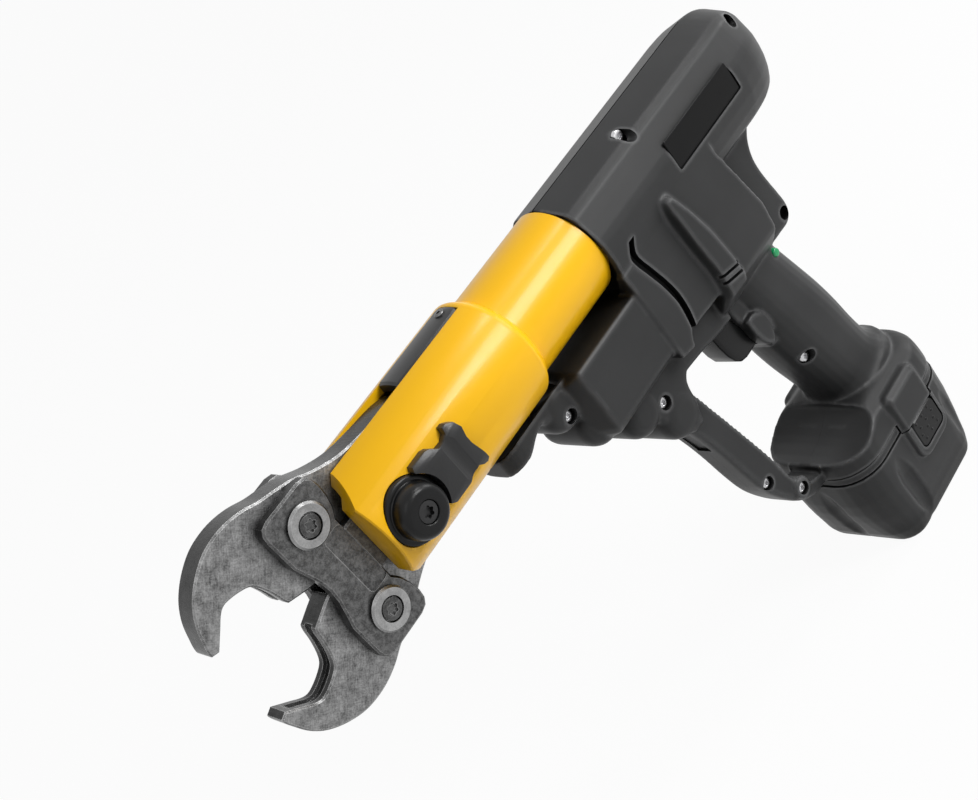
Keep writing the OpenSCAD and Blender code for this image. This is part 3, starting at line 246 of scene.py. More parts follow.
finish = {
    "black_plastic": mouldedBlack("casing black", (0.032, 0.0323, 0.0328), 0.4, 1900.0, 0.17, True),
    "soft_black": mouldedBlack("grip black", (0.006, 0.0061, 0.0063), 0.27, 2600.0, 0.22),
    "yellow_paint": enamel("yellow enamel", (0.93, 0.5, 0.004)),
    "black_steel": mouldedBlack("black oxide", (0.012, 0.012, 0.0125), 0.34, 1200.0, 0.4),
    "steel": satinSteel("ground steel", (0.5, 0.5, 0.51), 0.34),
    "aluminium": satinSteel("machined aluminium", (0.7, 0.7, 0.72), 0.35),
    "rubber": mouldedBlack("rubber", (0.02, 0.02, 0.02), 0.7, 900.0),
    "brass": satinSteel("machined brass", (0.7, 0.5, 0.2), 0.3),
    "board_green": mouldedBlack("board green", (0.02, 0.16, 0.06), 0.4, 500.0),
    "cell_wrap": mouldedBlack("cell wrap", (0.03, 0.12, 0.35), 0.25, 300.0),
    "lamp_green": clearLamp("lamp green", (0.008, 0.3, 0.1)),
}
brightSteel = satinSteel("bright steel", (0.62, 0.62, 0.63), 0.28)
washerSteel = forgedSteel("washer steel", 0.24, 0.38, 0.55, 0.4, 0.05)
darkSteel = forgedSteel("dark fastener", 0.05, 0.13, 0.4, 0.36)
forged = forgedSteel("forged plate", 0.06, 0.16, 0.5, 0.44, 0.018, 0.0, 420.0)
knurled = forgedSteel("knurled jaw", 0.08, 0.34, 0.7, 0.42, 0.03, 260.0)
panelBlack = mouldedBlack("panel black", (0.004, 0.004, 0.0042), 0.32, 2200.0, 0.14)
slots = {row["node"]: row["material_slot"] for row in frame["record"]["subparts"]}
for name, node in nodes.items():
    node.data.materials.clear()
    node.data.materials.append(finish[slots[name]])
print("finishes set:", len(finish))

# millimetres from the casing's front face and the barrel axis, to metres in the part's frame
origin = Vector((86.0, 0.0, 267.0))
# how far from the middle a cut runs on, past the surface that it opens
beyond = 40


def at(x, y, z):
    return (Vector((x, y, z)) + origin) / 1000


def startFresh():
    bpy.ops.object.select_all(action="DESELECT")


# a closed form through rings of points: a filled disc pulled out ring by ring
def loft(name, rings):
    startFresh()
    bpy.ops.mesh.primitive_circle_add(vertices=len(rings[0]), radius=0.1, fill_type="NGON")
    piece = bpy.context.object
    piece.name = name
    mesh = piece.data
    spots = [at(*p) for p in rings[0]]
    for vert, spot in zip(mesh.vertices, spots):
        vert.co = spot
    bpy.ops.object.mode_set(mode="EDIT")
    bpy.ops.mesh.select_all(action="SELECT")
    for ring in rings[1:]:
        bpy.ops.mesh.extrude_region_move()
        bpy.ops.object.mode_set(mode="OBJECT")
        targets = [at(*p) for p in ring]
        for vert in mesh.vertices:
            if vert.select:
                nearest = min(range(len(spots)), key=lambda i: (spots[i] - vert.co).length_squared)
                vert.co = targets[nearest]
        spots = targets
        bpy.ops.object.mode_set(mode="EDIT")
    bpy.ops.mesh.select_all(action="SELECT")
    bpy.ops.mesh.normals_make_consistent(inside=False)
    bpy.ops.object.mode_set(mode="OBJECT")
    return piece


# a point of a flat outline put at a depth: the plane is named by its two axes
def lay(plane, point, depth):
    u, v = point
    return {"XZ": (u, depth, v), "YZ": (depth, u, v), "XY": (u, v, depth)}[plane]


def prism(name, outline, plane, low, high):
    return loft(name, [[lay(plane, p, low) for p in outline], [lay(plane, p, high) for p in outline]])


def shrink(outline, by):
    area = sum(a[0] * b[1] - b[0] * a[1] for a, b in zip(outline, outline[1:] + outline[:1]))
    side = 1 if area > 0 else -1
    moved = []
    for i, p in enumerate(outline):
        before, after = Vector(outline[i - 1]), Vector(outline[(i + 1) % len(outline)])
        first, second = (Vector(p) - before).normalized(), (after - Vector(p)).normalized()
        along = (first + second).normalized()
        inward = Vector((-along.y, along.x)) * side
        reach = by / max(0.5, inward.dot(Vector((-first.y, first.x)) * side))
        moved.append(tuple(Vector(p) + inward * reach))
    return moved


# an outline with curved runs between its corners
def curved(outline, steps=4, corner=36):
    spots = [Vector(p) for p in outline]
    count = len(spots)
    leads = []
    for i, here in enumerate(spots):
        first, second = here - spots[i - 1], spots[(i + 1) % count] - here
        sharp = first.angle(second) > math.radians(corner)
        leads.append(None if sharp else (first.normalized() + second.normalized()).normalized())
    points = []
    for i, here in enumerate(spots):
        there = spots[(i + 1) % count]
        run = there - here
        out = run if leads[i] is None else leads[i] * run.length
        back = run if leads[(i + 1) % count] is None else leads[(i + 1) % count] * run.length
        for k in range(steps):
            s = k / steps
            points.append(tuple(here * (2 * s ** 3 - 3 * s ** 2 + 1) + out * (s ** 3 - 2 * s ** 2 + s)
                                + there * (3 * s ** 2 - 2 * s ** 3) + back * (s ** 3 - s ** 2)))
    return points


# rows of numbers with eased rows put between them
def eased(rows, steps=3):
    fine = []
    for i in range(len(rows) - 1):
        four = rows[max(i - 1, 0)], rows[i], rows[i + 1], rows[min(i + 2, len(rows) - 1)]
        for k in range(steps):
            s = k / steps
            fine.append(tuple(0.5 * (2 * b + (c - a) * s + (2 * a - 5 * b + 4 * c - d) * s ** 2
                                     + (3 * b - a - 3 * c + d) * s ** 3) for a, b, c, d in zip(*four)))
    return fine + [rows[-1]]


# a slab with its two rims drawn in
def slab(name, outline, plane, low, high, rim):
    drawn = shrink(outline, rim)
    return loft(name, [[lay(plane, p, depth) for p in shape] for shape, depth in (
        (drawn, low), (outline, low + rim), (outline, high - rim), (drawn, high))])


# a slab with its rims rounded over in steps
def pillow(name, outline, plane, low, high, rim, steps=4):
    turns = [i * math.pi / 2 / steps for i in range(steps + 1)]
    over = [(rim * (1 - math.sin(turn)), rim * (1 - math.cos(turn))) for turn in turns]
    levels = [(inset, low + rise) for inset, rise in over] + [(inset, high - rise) for inset, rise in reversed(over)]
    return loft(name, [[lay(plane, p, depth) for p in shrink(outline, inset)] for inset, depth in levels])


def ringOf(radius, count=40, middle=(0, 0)):
    return [(middle[0] + radius * math.cos(2 * math.pi * i / count),
             middle[1] + radius * math.sin(2 * math.pi * i / count)) for i in range(count)]


def roundRect(length, width, radius, middle=(0, 0), steps=6):
    points = []
    for turn, (sx, sy) in enumerate(((1, 1), (-1, 1), (-1, -1), (1, -1))):
        for i in range(steps + 1):
            angle = math.radians(90 * turn + 90 * i / steps)
            points.append((middle[0] + sx * (length / 2 - radius) + radius * math.cos(angle),
                           middle[1] + sy * (width / 2 - radius) + radius * math.sin(angle)))
    return points


def bar(name, plane, middle, radius, low, high, count=40):
    return prism(name, ringOf(radius, count, middle), plane, low, high)


def box(name, low, high):
    return prism(name, [(low[0], low[1]), (high[0], low[1]), (high[0], high[1]), (low[0], high[1])],
                 "XY", low[2], high[2])


# a rounded rectangle over two ranges
def rectOver(across, up, radius):
    return roundRect(across[1] - across[0], up[1] - up[0], radius, (sum(across) / 2, sum(up) / 2))


# a run out from the middle on one side, its low end first
def sideSpan(side, near, far):
    return sorted((side * near, side * far))


def mirrored(half):
    return half + [(-u, v) for u, v in reversed(half) if abs(u) > 1e-6]


def apply(piece, kind, **settings):
    modifier = piece.modifiers.new(kind.lower(), kind)
    for key, value in settings.items():
        setattr(modifier, key, value)
    bpy.context.view_layer.objects.active = piece
    bpy.ops.object.modifier_apply(modifier=modifier.name)
    return piece


def drop(piece):
    mesh = piece.data
    bpy.data.objects.remove(piece)
    bpy.data.meshes.remove(mesh)


def combine(piece, tool, operation):
    before = len(piece.data.vertices)
    apply(piece, "BOOLEAN", object=tool, operation=operation, solver="MANIFOLD")
    if len(piece.data.vertices) == before:
        print("no change by", tool.name)
    drop(tool)
    return piece


def cutAway(piece, tools):
    for tool in tools[1:]:
        combine(tools[0], tool, "UNION")
    return combine(piece, tools[0], "DIFFERENCE")


def join(name, pieces):
    startFresh()
    for piece in pieces:
        piece.select_set(True)
    bpy.context.view_layer.objects.active = pieces[0]
    bpy.ops.object.join()
    pieces[0].name = name
    return pieces[0]


def melt(piece, voxel, rounds):
    apply(piece, "REMESH", mode="VOXEL", voxel_size=voxel / 1000)
    return apply(piece, "SMOOTH", factor=0.5, iterations=rounds)


def twin(piece, name):
    copy = piece.copy()
    copy.data = piece.data.copy()
    copy.name = name
    bpy.context.scene.collection.objects.link(copy)
    return copy


def smooth(piece, degrees):
    startFresh()
    piece.select_set(True)
    bpy.context.view_layer.objects.active = piece
    bpy.ops.object.shade_smooth_by_angle(angle=math.radians(degrees))


# hands a finished piece over: its finish, its body and the node it stands for
def settle(piece, body, node, degrees=40, material=None, slot=None):
    slot = slot or slots[node]
    smooth(piece, degrees)
    piece.data.materials.clear()
    piece.data.materials.append(material or finish[slot])
    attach(piece, body)
    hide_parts(node)


casing = {
    "voxel": 0.8,
    "soften": 6,
    "section": [(0, 26), (9, 23.4), (18, 20.8), (21.8, 17.6), (24.6, 10.9), (27.4, 4),
                (28.5, 0), (28.5, -8), (27.5, -15), (25, -22), (21.5, -28), (18, -31)],
    "tail": [(0, 28.5, 26, -31, 0), (-126, 28.5, 26, -31, 0), (-138, 26.8, 25.6, -31, 0), (-146, 24, 23.8, -30.6, -0.5),
             (-152, 20.6, 20.8, -29.8, -1.5), (-157, 16.6, 16.6, -28, -3), (-161, 12.2, 11.6, -25.6, -5),
             (-164, 7.6, 5.4, -22, -8), (-165.8, 2.6, -3, -17, -10.5)],
    "blockRings": [(-48, 26, 0), (-16, 26, 0), (-13, 27, 0), (50, 27, 0), (51.5, 26, 1), (57, 17, 4)],
    "block": [(-1, -27.6), (0, -29.5), (0.3, -45), (0, -63), (-2.5, -66.5), (-8, -69), (-16, -70)],
    "collar": [(1.5, -17), (-7.5, -16.5), (-10, -24), (-14, -36), (-16, -50), (-13.5, -64), (-10, -69),
               (-9, -72), (1, -70), (1, -28)],
    "collarWidth": 28.4,
    "cheek": [(-44, -6), (-3, -8), (-3, -30), (-12, -66), (-44, -68)],
    "cheekWidth": 27.2,
    "groove": [(-12.5, -8), (-9, -14), (-8.8, -18), (-11.2, -27), (-14.6, -41), (-15.4, -50), (-14.2, -60),
               (-10.6, -71)],
    "lobes": [(-40, -50), (40, -40), (51, -33), (75, -33), (73, -37), (66, -42), (58, -45), (56, -47),
              (56, -54), (54, -60), (49, -64), (44, -65.5), (41, -66.5), (40, -71), (36, -76), (30, -79.5),
              (25, -81), (24.5, -88), (23, -95), (19, -102), (12, -110), (4, -110), (0, -96), (-2, -88),
              (-5, -85), (-20, -86.6), (-30, -88.6), (-46, -90), (-46, -50)],
    "lobeWidth": 17.5,
    "knuckles": [(61, -38.5, 12), (49, -59.4, 12.6), (29.4, -76.6, 12.6), (12, -95.5, 13.2)],
    "knuckleWidth": 18.5,
    "guard": {"from": 44, "to": 100, "width": 17, "round": 10, "inner": 32.9, "outer": 37.8, "swell": 5,
              "bellFrom": 76, "bellRun": 16, "stops": (79, 82, 84, 86, 88), "ends": (0.35, 0.6, 0.8, 0.93, 0.985)},
    "belt": [(-8.7, -38.7, 27, -44, 30, -82.7, 27.6), (-11, -38.7, 28, -44.6, 32.4, -83.2, 28.4),
             (-22, -38.2, 28, -47.5, 34, -84.5, 29.8), (-38, -39, 28, -51, 34, -86.7, 31),
             (-55, -40.5, 28, -53, 34, -90, 31), (-68, -39.5, 28, -53.6, 34, -88.5, 31),
             (-71.5, -39.5, 27, -53.6, 32.5, -88.5, 29.5), (-80, -39.5, 20, -53, 24, -90, 22),
             (-84, -40, 17, -52, 18, -92, 17)],
    "web": [(-42, -20), (-42, -84), (-104, -86.4), (-110.5, -86.4), (-114.8, -83.6), (-116.6, -79), (-116.2, -71),
            (-115, -62), (-114.2, -52), (-115, -45), (-118.4, -37.5), (-124.5, -31.5), (-134, -27), (-140, -20)],
    "webWidth": 16,
    "strut": [(16, -95), (12.6, -108), (9, -116), (5.2, -129), (2, -143.5), (-0.8, -159), (-4.6, -174.4),
              (-10.6, -186.8), (-18.6, -198), (-28, -204), (-40, -206), (-46, -200), (-34, -197), (-26, -192),
              (-21, -181), (-19, -167), (-15, -148), (-9, -122), (-5.2, -106), (-2.6, -93), (-2, -84)],
    "strutWidth": 10.5,
    "handle": {"middle": (-87.5, -134), "lean": 13.5, "depth": 46, "width": 38, "radius": 17,
               "rings": [(60, 0.97), (40, 0.98), (22, 1.02), (4, 1.055), (-12, 1.05), (-28, 1.01), (-40, 1.005),
                         (-45, 1.05), (-48.5, 1.13), (-50.5, 1.21), (-52, 1.25), (-56, 1.26), (-61, 1.28)]},
    "boss": [(-48, -84), (-50, -98), (-52, -104), (-54, -108), (-54, -116), (-60, -125), (-80, -128), (-80, -84)],
    "bossWidth": 12.5,
    "bossStep": [(-51.5, -99), (-57, -98.5), (-62.5, -102), (-64.5, -108.5), (-63.5, -116), (-59.5, -121.5),
                 (-55.5, -118.5), (-52.8, -112)],
    "bossStepWidth": 16,
    "foot": [(-210.5, 95.6, 67.4, 22, -87), (-203, 95.8, 67.6, 22, -87), (-196, 95, 67, 22, -87.2),
             (-191, 91, 64.6, 21, -88.6), (-188, 84, 58, 20, -91.5), (-185.5, 73, 50, 19, -95),
             (-183.5, 54, 40, 18, -101)],
    "saddle": [(-20, -160), (-74, -160), (-74, -186.5), (-72, -188.6), (-68, -190.8), (-64.5, -192.2), (-60, -194.2),
               (-55, -195.4), (-47.5, -195.8), (-38, -194.8), (-20, -194)],
    "pad": {"x": (-111, -79), "z": (-224, -188.5), "y": 36.9, "root": 22, "from": 29.9, "low": -211.4, "rim": 3,
            "corner": 5},
    "screws": [(-54.8, 20.7, 13.6), (-147, 13.1, 14.4), (-111.2, -80.4, 9), (61.6, -43.2, 15.8), (16.8, -83.2, 15.8),
               (-71.4, -143.9, 14), (-7.8, -171, 8.8), (-22.5, -191.5, 11)],
    "screwBoss": [(-22.5, -191.5), 5.8, 12.4],
    "hollows": {"barrelHollow": ((0, 0), 23, -140, -4), "neckHole": ((0, 0), 22.65, -8, 3)},
    "mouth": {"share": 0.9, "from": -3.5, "to": 3},
    "bores": {"tubeRoom": ((0, 0), 26.6, -0.5, 60, 64), "headRoom": ((0, 0), 32.6, 56, 110, 64),
              "motorHollow": ((0, -52), 20.4, -44, 52)},
    "pumpRoom": ((-44, -16.4, -52), (-18, 16.4, 0)),
    "gripHollow": {"ends": (51, -50), "scale": 0.965, "wall": 4},
    "rooms": {"towerRoom": ((-106.4, -15.4, -220), (-65.6, 15.4, -192.95)),
              "seam": ((-136, -0.4, 25), (1, 0.4, 40)),
              "triggerSlot": ((-87.5, -8.9, -118), (-29, 8.9, -86))},
    "rimGap": ((-150, -60, -240), (-20, 60, -204.7)),
    "grooveBack": 4.4,
    "grooveFloor": 23.4,
    "panelBay": {"middle": (-90.8, 0), "size": (59.2, 16.8), "corner": 1.2, "floor": 27.1},
    "notch": [(-56, -4.6), (-56, -3), (-36, 1.4), (-36, -0.2)],
    "notchLevels": (-58, -62),
    "notchFloor": 30.6,
    "screwBay": {"radius": 3.7, "deep": 2.5},
    "screwHole": (1.8, -9, 20),
    "lampHole": {"middle": (-90.4, -88.3), "radius": 2.55, "from": 12.5},
    "strutSlot": [(14, -114), (8, -134), (3, -133), (9, -113)],
    "strutSlotHalf": 4.5,
    "seamGap": 0.03,
}


def handleRing(rise, scale, inset=0.0):
    handle = casing["handle"]
    lean = math.radians(handle["lean"])
    spots = roundRect(handle["depth"] * scale - 2 * inset, handle["width"] * scale - 2 * inset,
                      handle["radius"] * scale - inset)
    return [(handle["middle"][0] + u * math.cos(lean) + rise * math.sin(lean), v,
             handle["middle"][1] - u * math.sin(lean) + rise * math.cos(lean)) for u, v in spots]


def guardRing(x, width):
    guard = casing["guard"]
    share = min(1, max(0, (x - guard["bellFrom"]) / guard["bellRun"]))
    outer = guard["outer"] + guard["swell"] * 0.5 * (1 - math.cos(math.pi * share))
    steps = [i / 8 - 1 for i in range(17)]
    return [(x, radius * math.sin(side * s * math.asin(width / radius)),
             -radius * math.cos(side * s * math.asin(width / radius)))
            for radius, side in ((guard["inner"], 1), (outer, -1)) for s in steps]


def casingForms():
    c = casing
    section = mirrored(c["section"])
    crown, side, belly = section[0][1], max(u for u, v in section), -min(v for u, v in section)
    rings = []
    for x, half, top, low, level in c["tail"][:1] + eased(c["tail"][1:]):
        rings.append([(x, u * half / side, level + (v * (top - level) / crown if v > 0 else v * (level - low) / belly))
                      for u, v in section])
    barrel = loft("barrel", rings)
    rings = []
    for x, half, drawIn in c["blockRings"]:
        outline = [(half + u, v - drawIn if v > -45 else v + drawIn) for u, v in c["block"]]
        rings.append([(x, u, v) for u, v in mirrored(outline)])
    block = loft("block", rings)
    collar = slab("collar", c["collar"], "XZ", -c["collarWidth"], c["collarWidth"], 0.8)
    cheek = slab("cheek", c["cheek"], "XZ", -c["cheekWidth"], c["cheekWidth"], 0.8)
    lobes = pillow("lobes", curved(c["lobes"], 3), "XZ", -c["lobeWidth"], c["lobeWidth"], 4)
    knuckles = [pillow("knuckle", ringOf(radius, 40, (x, z)), "XZ", -c["knuckleWidth"], c["knuckleWidth"], 7)
                for x, z, radius in c["knuckles"]]
    g = c["guard"]
    bend = g["to"] - g["round"]
    ends = [(bend + g["round"] * s, g["width"] - g["round"] * (1 - math.sqrt(1 - s * s))) for s in g["ends"]]
    runs = [(x, g["width"]) for x in (g["from"], g["bellFrom"], *g["stops"], bend)]
    guard = loft("guard", [guardRing(x, w) for x, w in runs + ends])
    rings = []
    for z, foot, yFoot, crest, yCrest, rear, yRear in c["belt"]:
        half = [(foot, yFoot), (foot - 1.8, yCrest - 0.6), (crest, yCrest), (crest - 1.6, yRear), (rear, yRear)]
        rings.append([(x, y, z) for x, y in half] + [(x, -y, z) for x, y in reversed(half)])
    belt = loft("belt", rings)
    web = slab("web", curved(c["web"], 3, 50), "XZ", -c["webWidth"], c["webWidth"], 1.6)
    strut = pillow("strut", curved(c["strut"], 3), "XZ", -c["strutWidth"], c["strutWidth"], 3)
    handle = loft("handle", [handleRing(rise, scale) for rise, scale in eased(c["handle"]["rings"])])
    boss = slab("boss", c["boss"], "XZ", -c["bossWidth"], c["bossWidth"], 1.5)
    step = slab("bossStep", curved(c["bossStep"], 3, 80), "XZ", -c["bossStepWidth"], c["bossStepWidth"], 1)
    screwBoss = bar("screwBoss", "XZ", c["screwBoss"][0], c["screwBoss"][1], -c["screwBoss"][2], c["screwBoss"][2], 32)
    foot = loft("foot", [[(u, v, z) for u, v in roundRect(length, width, radius, (middle, 0))]
                         for z, length, width, radius, middle in eased(c["foot"])])
    cutAway(foot, [prism("saddle", c["saddle"], "XZ", -60, 60)])
    pads = []
    for side in (-1, 1):
        outline = rectOver(c["pad"]["x"], c["pad"]["z"], c["pad"]["corner"])
        low, high = sideSpan(side, c["pad"]["root"], c["pad"]["y"])
        pads.append(slab("pad", outline, "XZ", low, high, c["pad"]["rim"]))
    forms = [barrel, block, collar, cheek, lobes, guard, belt, web, strut, handle, boss, step, screwBoss, foot]
    return forms + knuckles + pads


def casingCuts():
    c = casing
    tools = [bar(name, "YZ", *room) for name, room in c["hollows"].items()]
    lip = [(u * c["mouth"]["share"], v * c["mouth"]["share"]) for u, v in mirrored(c["section"])]
    tools.append(prism("mouth", lip, "YZ", c["mouth"]["from"], c["mouth"]["to"]))
    tools += [bar(name, "YZ", *room) for name, room in c["bores"].items()]
    tools.append(box("pumpRoom", *c["pumpRoom"]))
    grip = c["gripHollow"]
    tools.append(loft("gripHollow", [handleRing(rise, grip["scale"], grip["wall"]) for rise in grip["ends"]]))
    tools += [box(name, *room) for name, room in c["rooms"].items()]
    rimGap = box("rimGap", *c["rimGap"])
    pad = c["pad"]
    for side in (-1, 1):
        low, high = sideSpan(side, pad["from"], 80)
        combine(rimGap, box("tongue", (pad["x"][0], low, pad["low"]), (pad["x"][1], high, -190)), "DIFFERENCE")
    tools.append(rimGap)
    strip = [(x - c["grooveBack"], z) for x, z in c["groove"]]
    outline = curved(c["groove"] + strip[::-1], 3, 50)
    bay = c["panelBay"]
    for side in (-1, 1):
        tools.append(prism("groove", outline, "XZ", *sideSpan(side, c["grooveFloor"], beyond)))
        bayOutline = roundRect(*bay["size"], bay["corner"], bay["middle"])
        tools.append(prism("panelBay", bayOutline, "XZ", *sideSpan(side, bay["floor"], beyond)))
        for level in c["notchLevels"]:
            notch = [(x, level + rise) for x, rise in c["notch"]]
            tools.append(prism("notch", notch, "XZ", *sideSpan(side, c["notchFloor"], beyond)))
    screwBay = c["screwBay"]
    for x, z, top in c["screws"]:
        tools.append(bar("screwBay", "XZ", (x, z), screwBay["radius"], top - screwBay["deep"], 60, 28))
        tools.append(bar("screwHole", "XZ", (x, z), *c["screwHole"], 16))
    lamp = c["lampHole"]
    tools.append(bar("lampHole", "XZ", lamp["middle"], lamp["radius"], lamp["from"], beyond, 24))
    tools.append(prism("strutSlot", c["strutSlot"], "XZ", -c["strutSlotHalf"], c["strutSlotHalf"]))
    return tools


def makeCasing():
    body = melt(join("casing", casingForms()), casing["voxel"], casing["soften"])
    cutAway(body, casingCuts())
    for side, name in ((1, "left"), (-1, "right")):
        half = twin(body, name + "_shell")
        low, high = sideSpan(side, casing["seamGap"], 80)
        combine(half, box("side", (-200, low, -300), (150, high, 60)), "INTERSECT")
        settle(half, "drive_unit", name + "_housing", 35)
        print(name, "shell:", len(half.data.polygons), "faces")
    drop(body)


makeCasing()


# a form turned about an axis: pairs of depth along the axis and radius
def turned(name, plane, middle, profile, count=64):
    return loft(name, [[lay(plane, p, depth) for p in ringOf(radius, count, middle)] for depth, radius in profile])


# six-lobed driver recess
def driverStar(middle, outer, inner, count=36):
    spread = []
    for i in range(count):
        angle = 2 * math.pi * i / count
        radius = inner + (outer - inner) * (0.5 + 0.5 * math.cos(6 * angle)) ** 0.7
        spread.append((middle[0] + radius * math.cos(angle), middle[1] + radius * math.sin(angle)))
    return spread


def softenEdges(piece, width, segments=2, degrees=35):
    return apply(piece, "BEVEL", width=width / 1000, segments=segments, limit_method="ANGLE",
                 angle_limit=math.radians(degrees), use_clamp_overlap=True)


battery = {
    "voxel": 0.8,
    "soften": 3,
    "middle": -87,
    "rings": [(-267, 73, 59, 11.5), (-266.4, 74.6, 60.6, 12), (-264.4, 77, 62, 13), (-258, 83.5, 65, 17),
              (-250, 88, 66.6, 20), (-243, 91.4, 67, 21), (-236, 94.2, 67.2, 22), (-228, 95.8, 67.4, 22),
              (-206, 96.4, 67.6, 22)],
    "cover": {"low": -210.9, "high": -205.2, "length": 94.8, "width": 66.4, "radius": 21.5},
    "tower": ((-106, -15, -210.9), (-66, 15, -197.4)),
    "pad": {"x": (-111, -80), "z": (-236, -198), "y": 36.9, "from": 30, "corner": 8, "rim": 1.2},
    "pocket": {"x": (-107.9, -84.1), "z": (-230.4, -195), "from": 30.5, "corner": 4},
    "tongue": {"x": (-111.4, -78.6), "z": (-211.9, -190), "from": 29.6},
    "spring": {"middle": (-96, -222), "radius": 3.1, "from": 28.4},
    "hollow": ((-120, -27, -264), (-52, 27, -214)),
    "screws": [(sx * 30.8 - 86, sy * 23.8) for sx in (-1, 1) for sy in (-1, 1)],
    "sideFlutes": (-67, -120),
    "frontFlutes": (0,),
}


def batterySpan(z):
    rows = battery["rings"]
    for (z0, l0, w0, _), (z1, l1, w1, _) in zip(rows, rows[1:]):
        if z <= z1:
            share = (z - z0) / (z1 - z0)
            return l0 + (l1 - l0) * share, w0 + (w1 - w0) * share
    return rows[-1][1], rows[-1][2]


def fluteDepth(z):
    return max(-0.5, 2.6 * min((-216 - z) / 14, 1.0, (z + 263) / 12))


def makeBattery():
    b = battery
    body = loft("case", [[(u, v, z) for u, v in roundRect(l, w, r, (b["middle"], 0))] for z, l, w, r in b["rings"]])
    levels = [-212, -219, -225, -231, -237, -243, -249, -254, -259, -264, -268]
    tools = []
    for side in (-1, 1):
        for x in b["sideFlutes"]:
            tools.append(loft("flute", [[(u, v, z) for u, v in ringOf(8.5, 24, (
                x + (z + 240) * 0.06, side * (batterySpan(z)[1] / 2 + 8.5 - fluteDepth(z))))] for z in levels]))
    for y in b["frontFlutes"]:
        for end in (-1, 1):
            tools.append(loft("flute", [[(u, v, z) for u, v in ringOf(8, 24, (
                b["middle"] + end * (batterySpan(z)[0] / 2 + 8 - fluteDepth(z)), y))] for z in levels]))
    cutAway(body, tools)
    pads = []
    for side in (-1, 1):
        low, high = sideSpan(side, b["pad"]["from"], b["pad"]["y"])
        outline = rectOver(b["pad"]["x"], b["pad"]["z"], b["pad"]["corner"])
        pads.append(slab("pad", outline, "XZ", low, high, b["pad"]["rim"]))
    melt(join("battery_shell", [body] + pads), b["voxel"], b["soften"])
    tools = [box("lidCut", (-160, -60, -211), (0, 60, -180)), box("cellRoom", *b["hollow"])]
    for x, y in b["screws"]:
        tools.append(bar("screwBay", "XY", (x, y), 3.3, -270, -261.9, 24))
    cutAway(body, tools + buttonRooms())
    settle(body, "battery", "battery_case")
    cover = b["cover"]
    lid = slab("battery_lid", roundRect(cover["length"], cover["width"], cover["radius"], (b["middle"], 0), 10),
               "XY", cover["low"], cover["high"], 0.8)
    combine(lid, box("tower", *b["tower"]), "UNION")
    cutAway(lid, buttonRooms())
    settle(lid, "battery", "battery_cover")
    print("battery made:", len(body.data.polygons), "faces")


def buttonRooms():
    b = battery
    tools = []
    for side in (-1, 1):
        low, high = sideSpan(side, b["pocket"]["from"], 50)
        outline = rectOver(b["pocket"]["x"], b["pocket"]["z"], b["pocket"]["corner"])
        tools.append(prism("pocket", outline, "XZ", low, high))
        low, high = sideSpan(side, b["tongue"]["from"], 50)
        tools.append(box("tongueBay", (b["tongue"]["x"][0], low, b["tongue"]["z"][0]),
                         (b["tongue"]["x"][1], high, b["tongue"]["z"][1])))
        low, high = sideSpan(side, b["spring"]["from"], 32)
        tools.append(bar("well", "XZ", b["spring"]["middle"], b["spring"]["radius"], low, high, 24))
    return tools


makeBattery()

button = {
    "x": (-107.5, -84.5),
    "z": (-230, -212),
    "y": (33.4, 36.9),
    "corner": 3.6,
    "dots": [(-102.5 + 6.5 * i + 1.6 * (k % 2), -226.5 + 4.0 * k) for k in range(4) for i in range(3)],
    "dotRadius": 1.0,
}


def makeButton(name, side):
    u = button
    low, high = sideSpan(side, u["y"][0], u["y"][1])
    outline = rectOver(u["x"], u["z"], u["corner"])
    piece = slab(name + "_cap", outline, "XZ", low, high, 0.7)
    dots = []
    for spot in u["dots"]:
        rise = [(u["y"][1] - 0.3, 1.0), (u["y"][1] + 0.1, 0.9), (u["y"][1] + 0.34, 0.62), (u["y"][1] + 0.45, 0.3)]
        dots.append(turned("dot", "XZ", spot, [(side * depth, u["dotRadius"] * share) for depth, share in rise], 10))
    piece = join(name + "_cap", [piece] + dots)
    settle(piece, name, name)


for name, side in (("left_button", 1), ("right_button", -1)):
    makeButton(name, side)
print("buttons made")

head = {
    "profile": [(58, 26), (58.3, 26.7), (61.3, 29.6), (62.4, 30.3), (63.6, 30.5), (167.8, 30.5), (168.5, 29.9)],
    "bore": [(25.55, 50, 80.5), (26.5, 80.1, 111)],
    "fork": 14.0,
    "slot": 7.25,
    "slotFrom": 65,
    "noseCut": [(146.5, 41), (157.5, 31.2), (168.9, 18.3), (180, 18.3), (180, 41)],
    "latchRoom": ((114.3, 25.7, -6.4), (145, 50, 6.4)),
    "springRoom": ((27.9, 0), 1.75, 103.6, 116),
    "pin": (151.5, 0),
    "seat": 25.7,
    "seatRadius": 15.15,
    "count": 96,
}

latch = {
    "outline": [(113.6, 8.6), (114.6, 12.4), (117.4, 14.2), (119.6, 14.2), (120.8, 11.6), (123.6, 10.3), (127.4, 10.4),
                (130.4, 13.4), (132.4, 14.2), (141, 14.2), (142.2, 12.6), (142, 10), (139, 6), (137.4, 0),
                (138.6, -6), (139.6, -9.4), (137, -11.6), (127, -11.8), (123, -10.2), (119, -9.4), (116.4, -11.6),
                (114, -12.4), (112.6, -11.2), (113.4, -6), (114.8, 0), (114.8, 4)],
    "body": ((119.6, 26.1, -6), (144, 31.5, 6)),
    "inner": 30.8,
    "outer": 34.6,
    "flat": 33.6,
    "scoop": ((123.4, 39), 6.6),
}


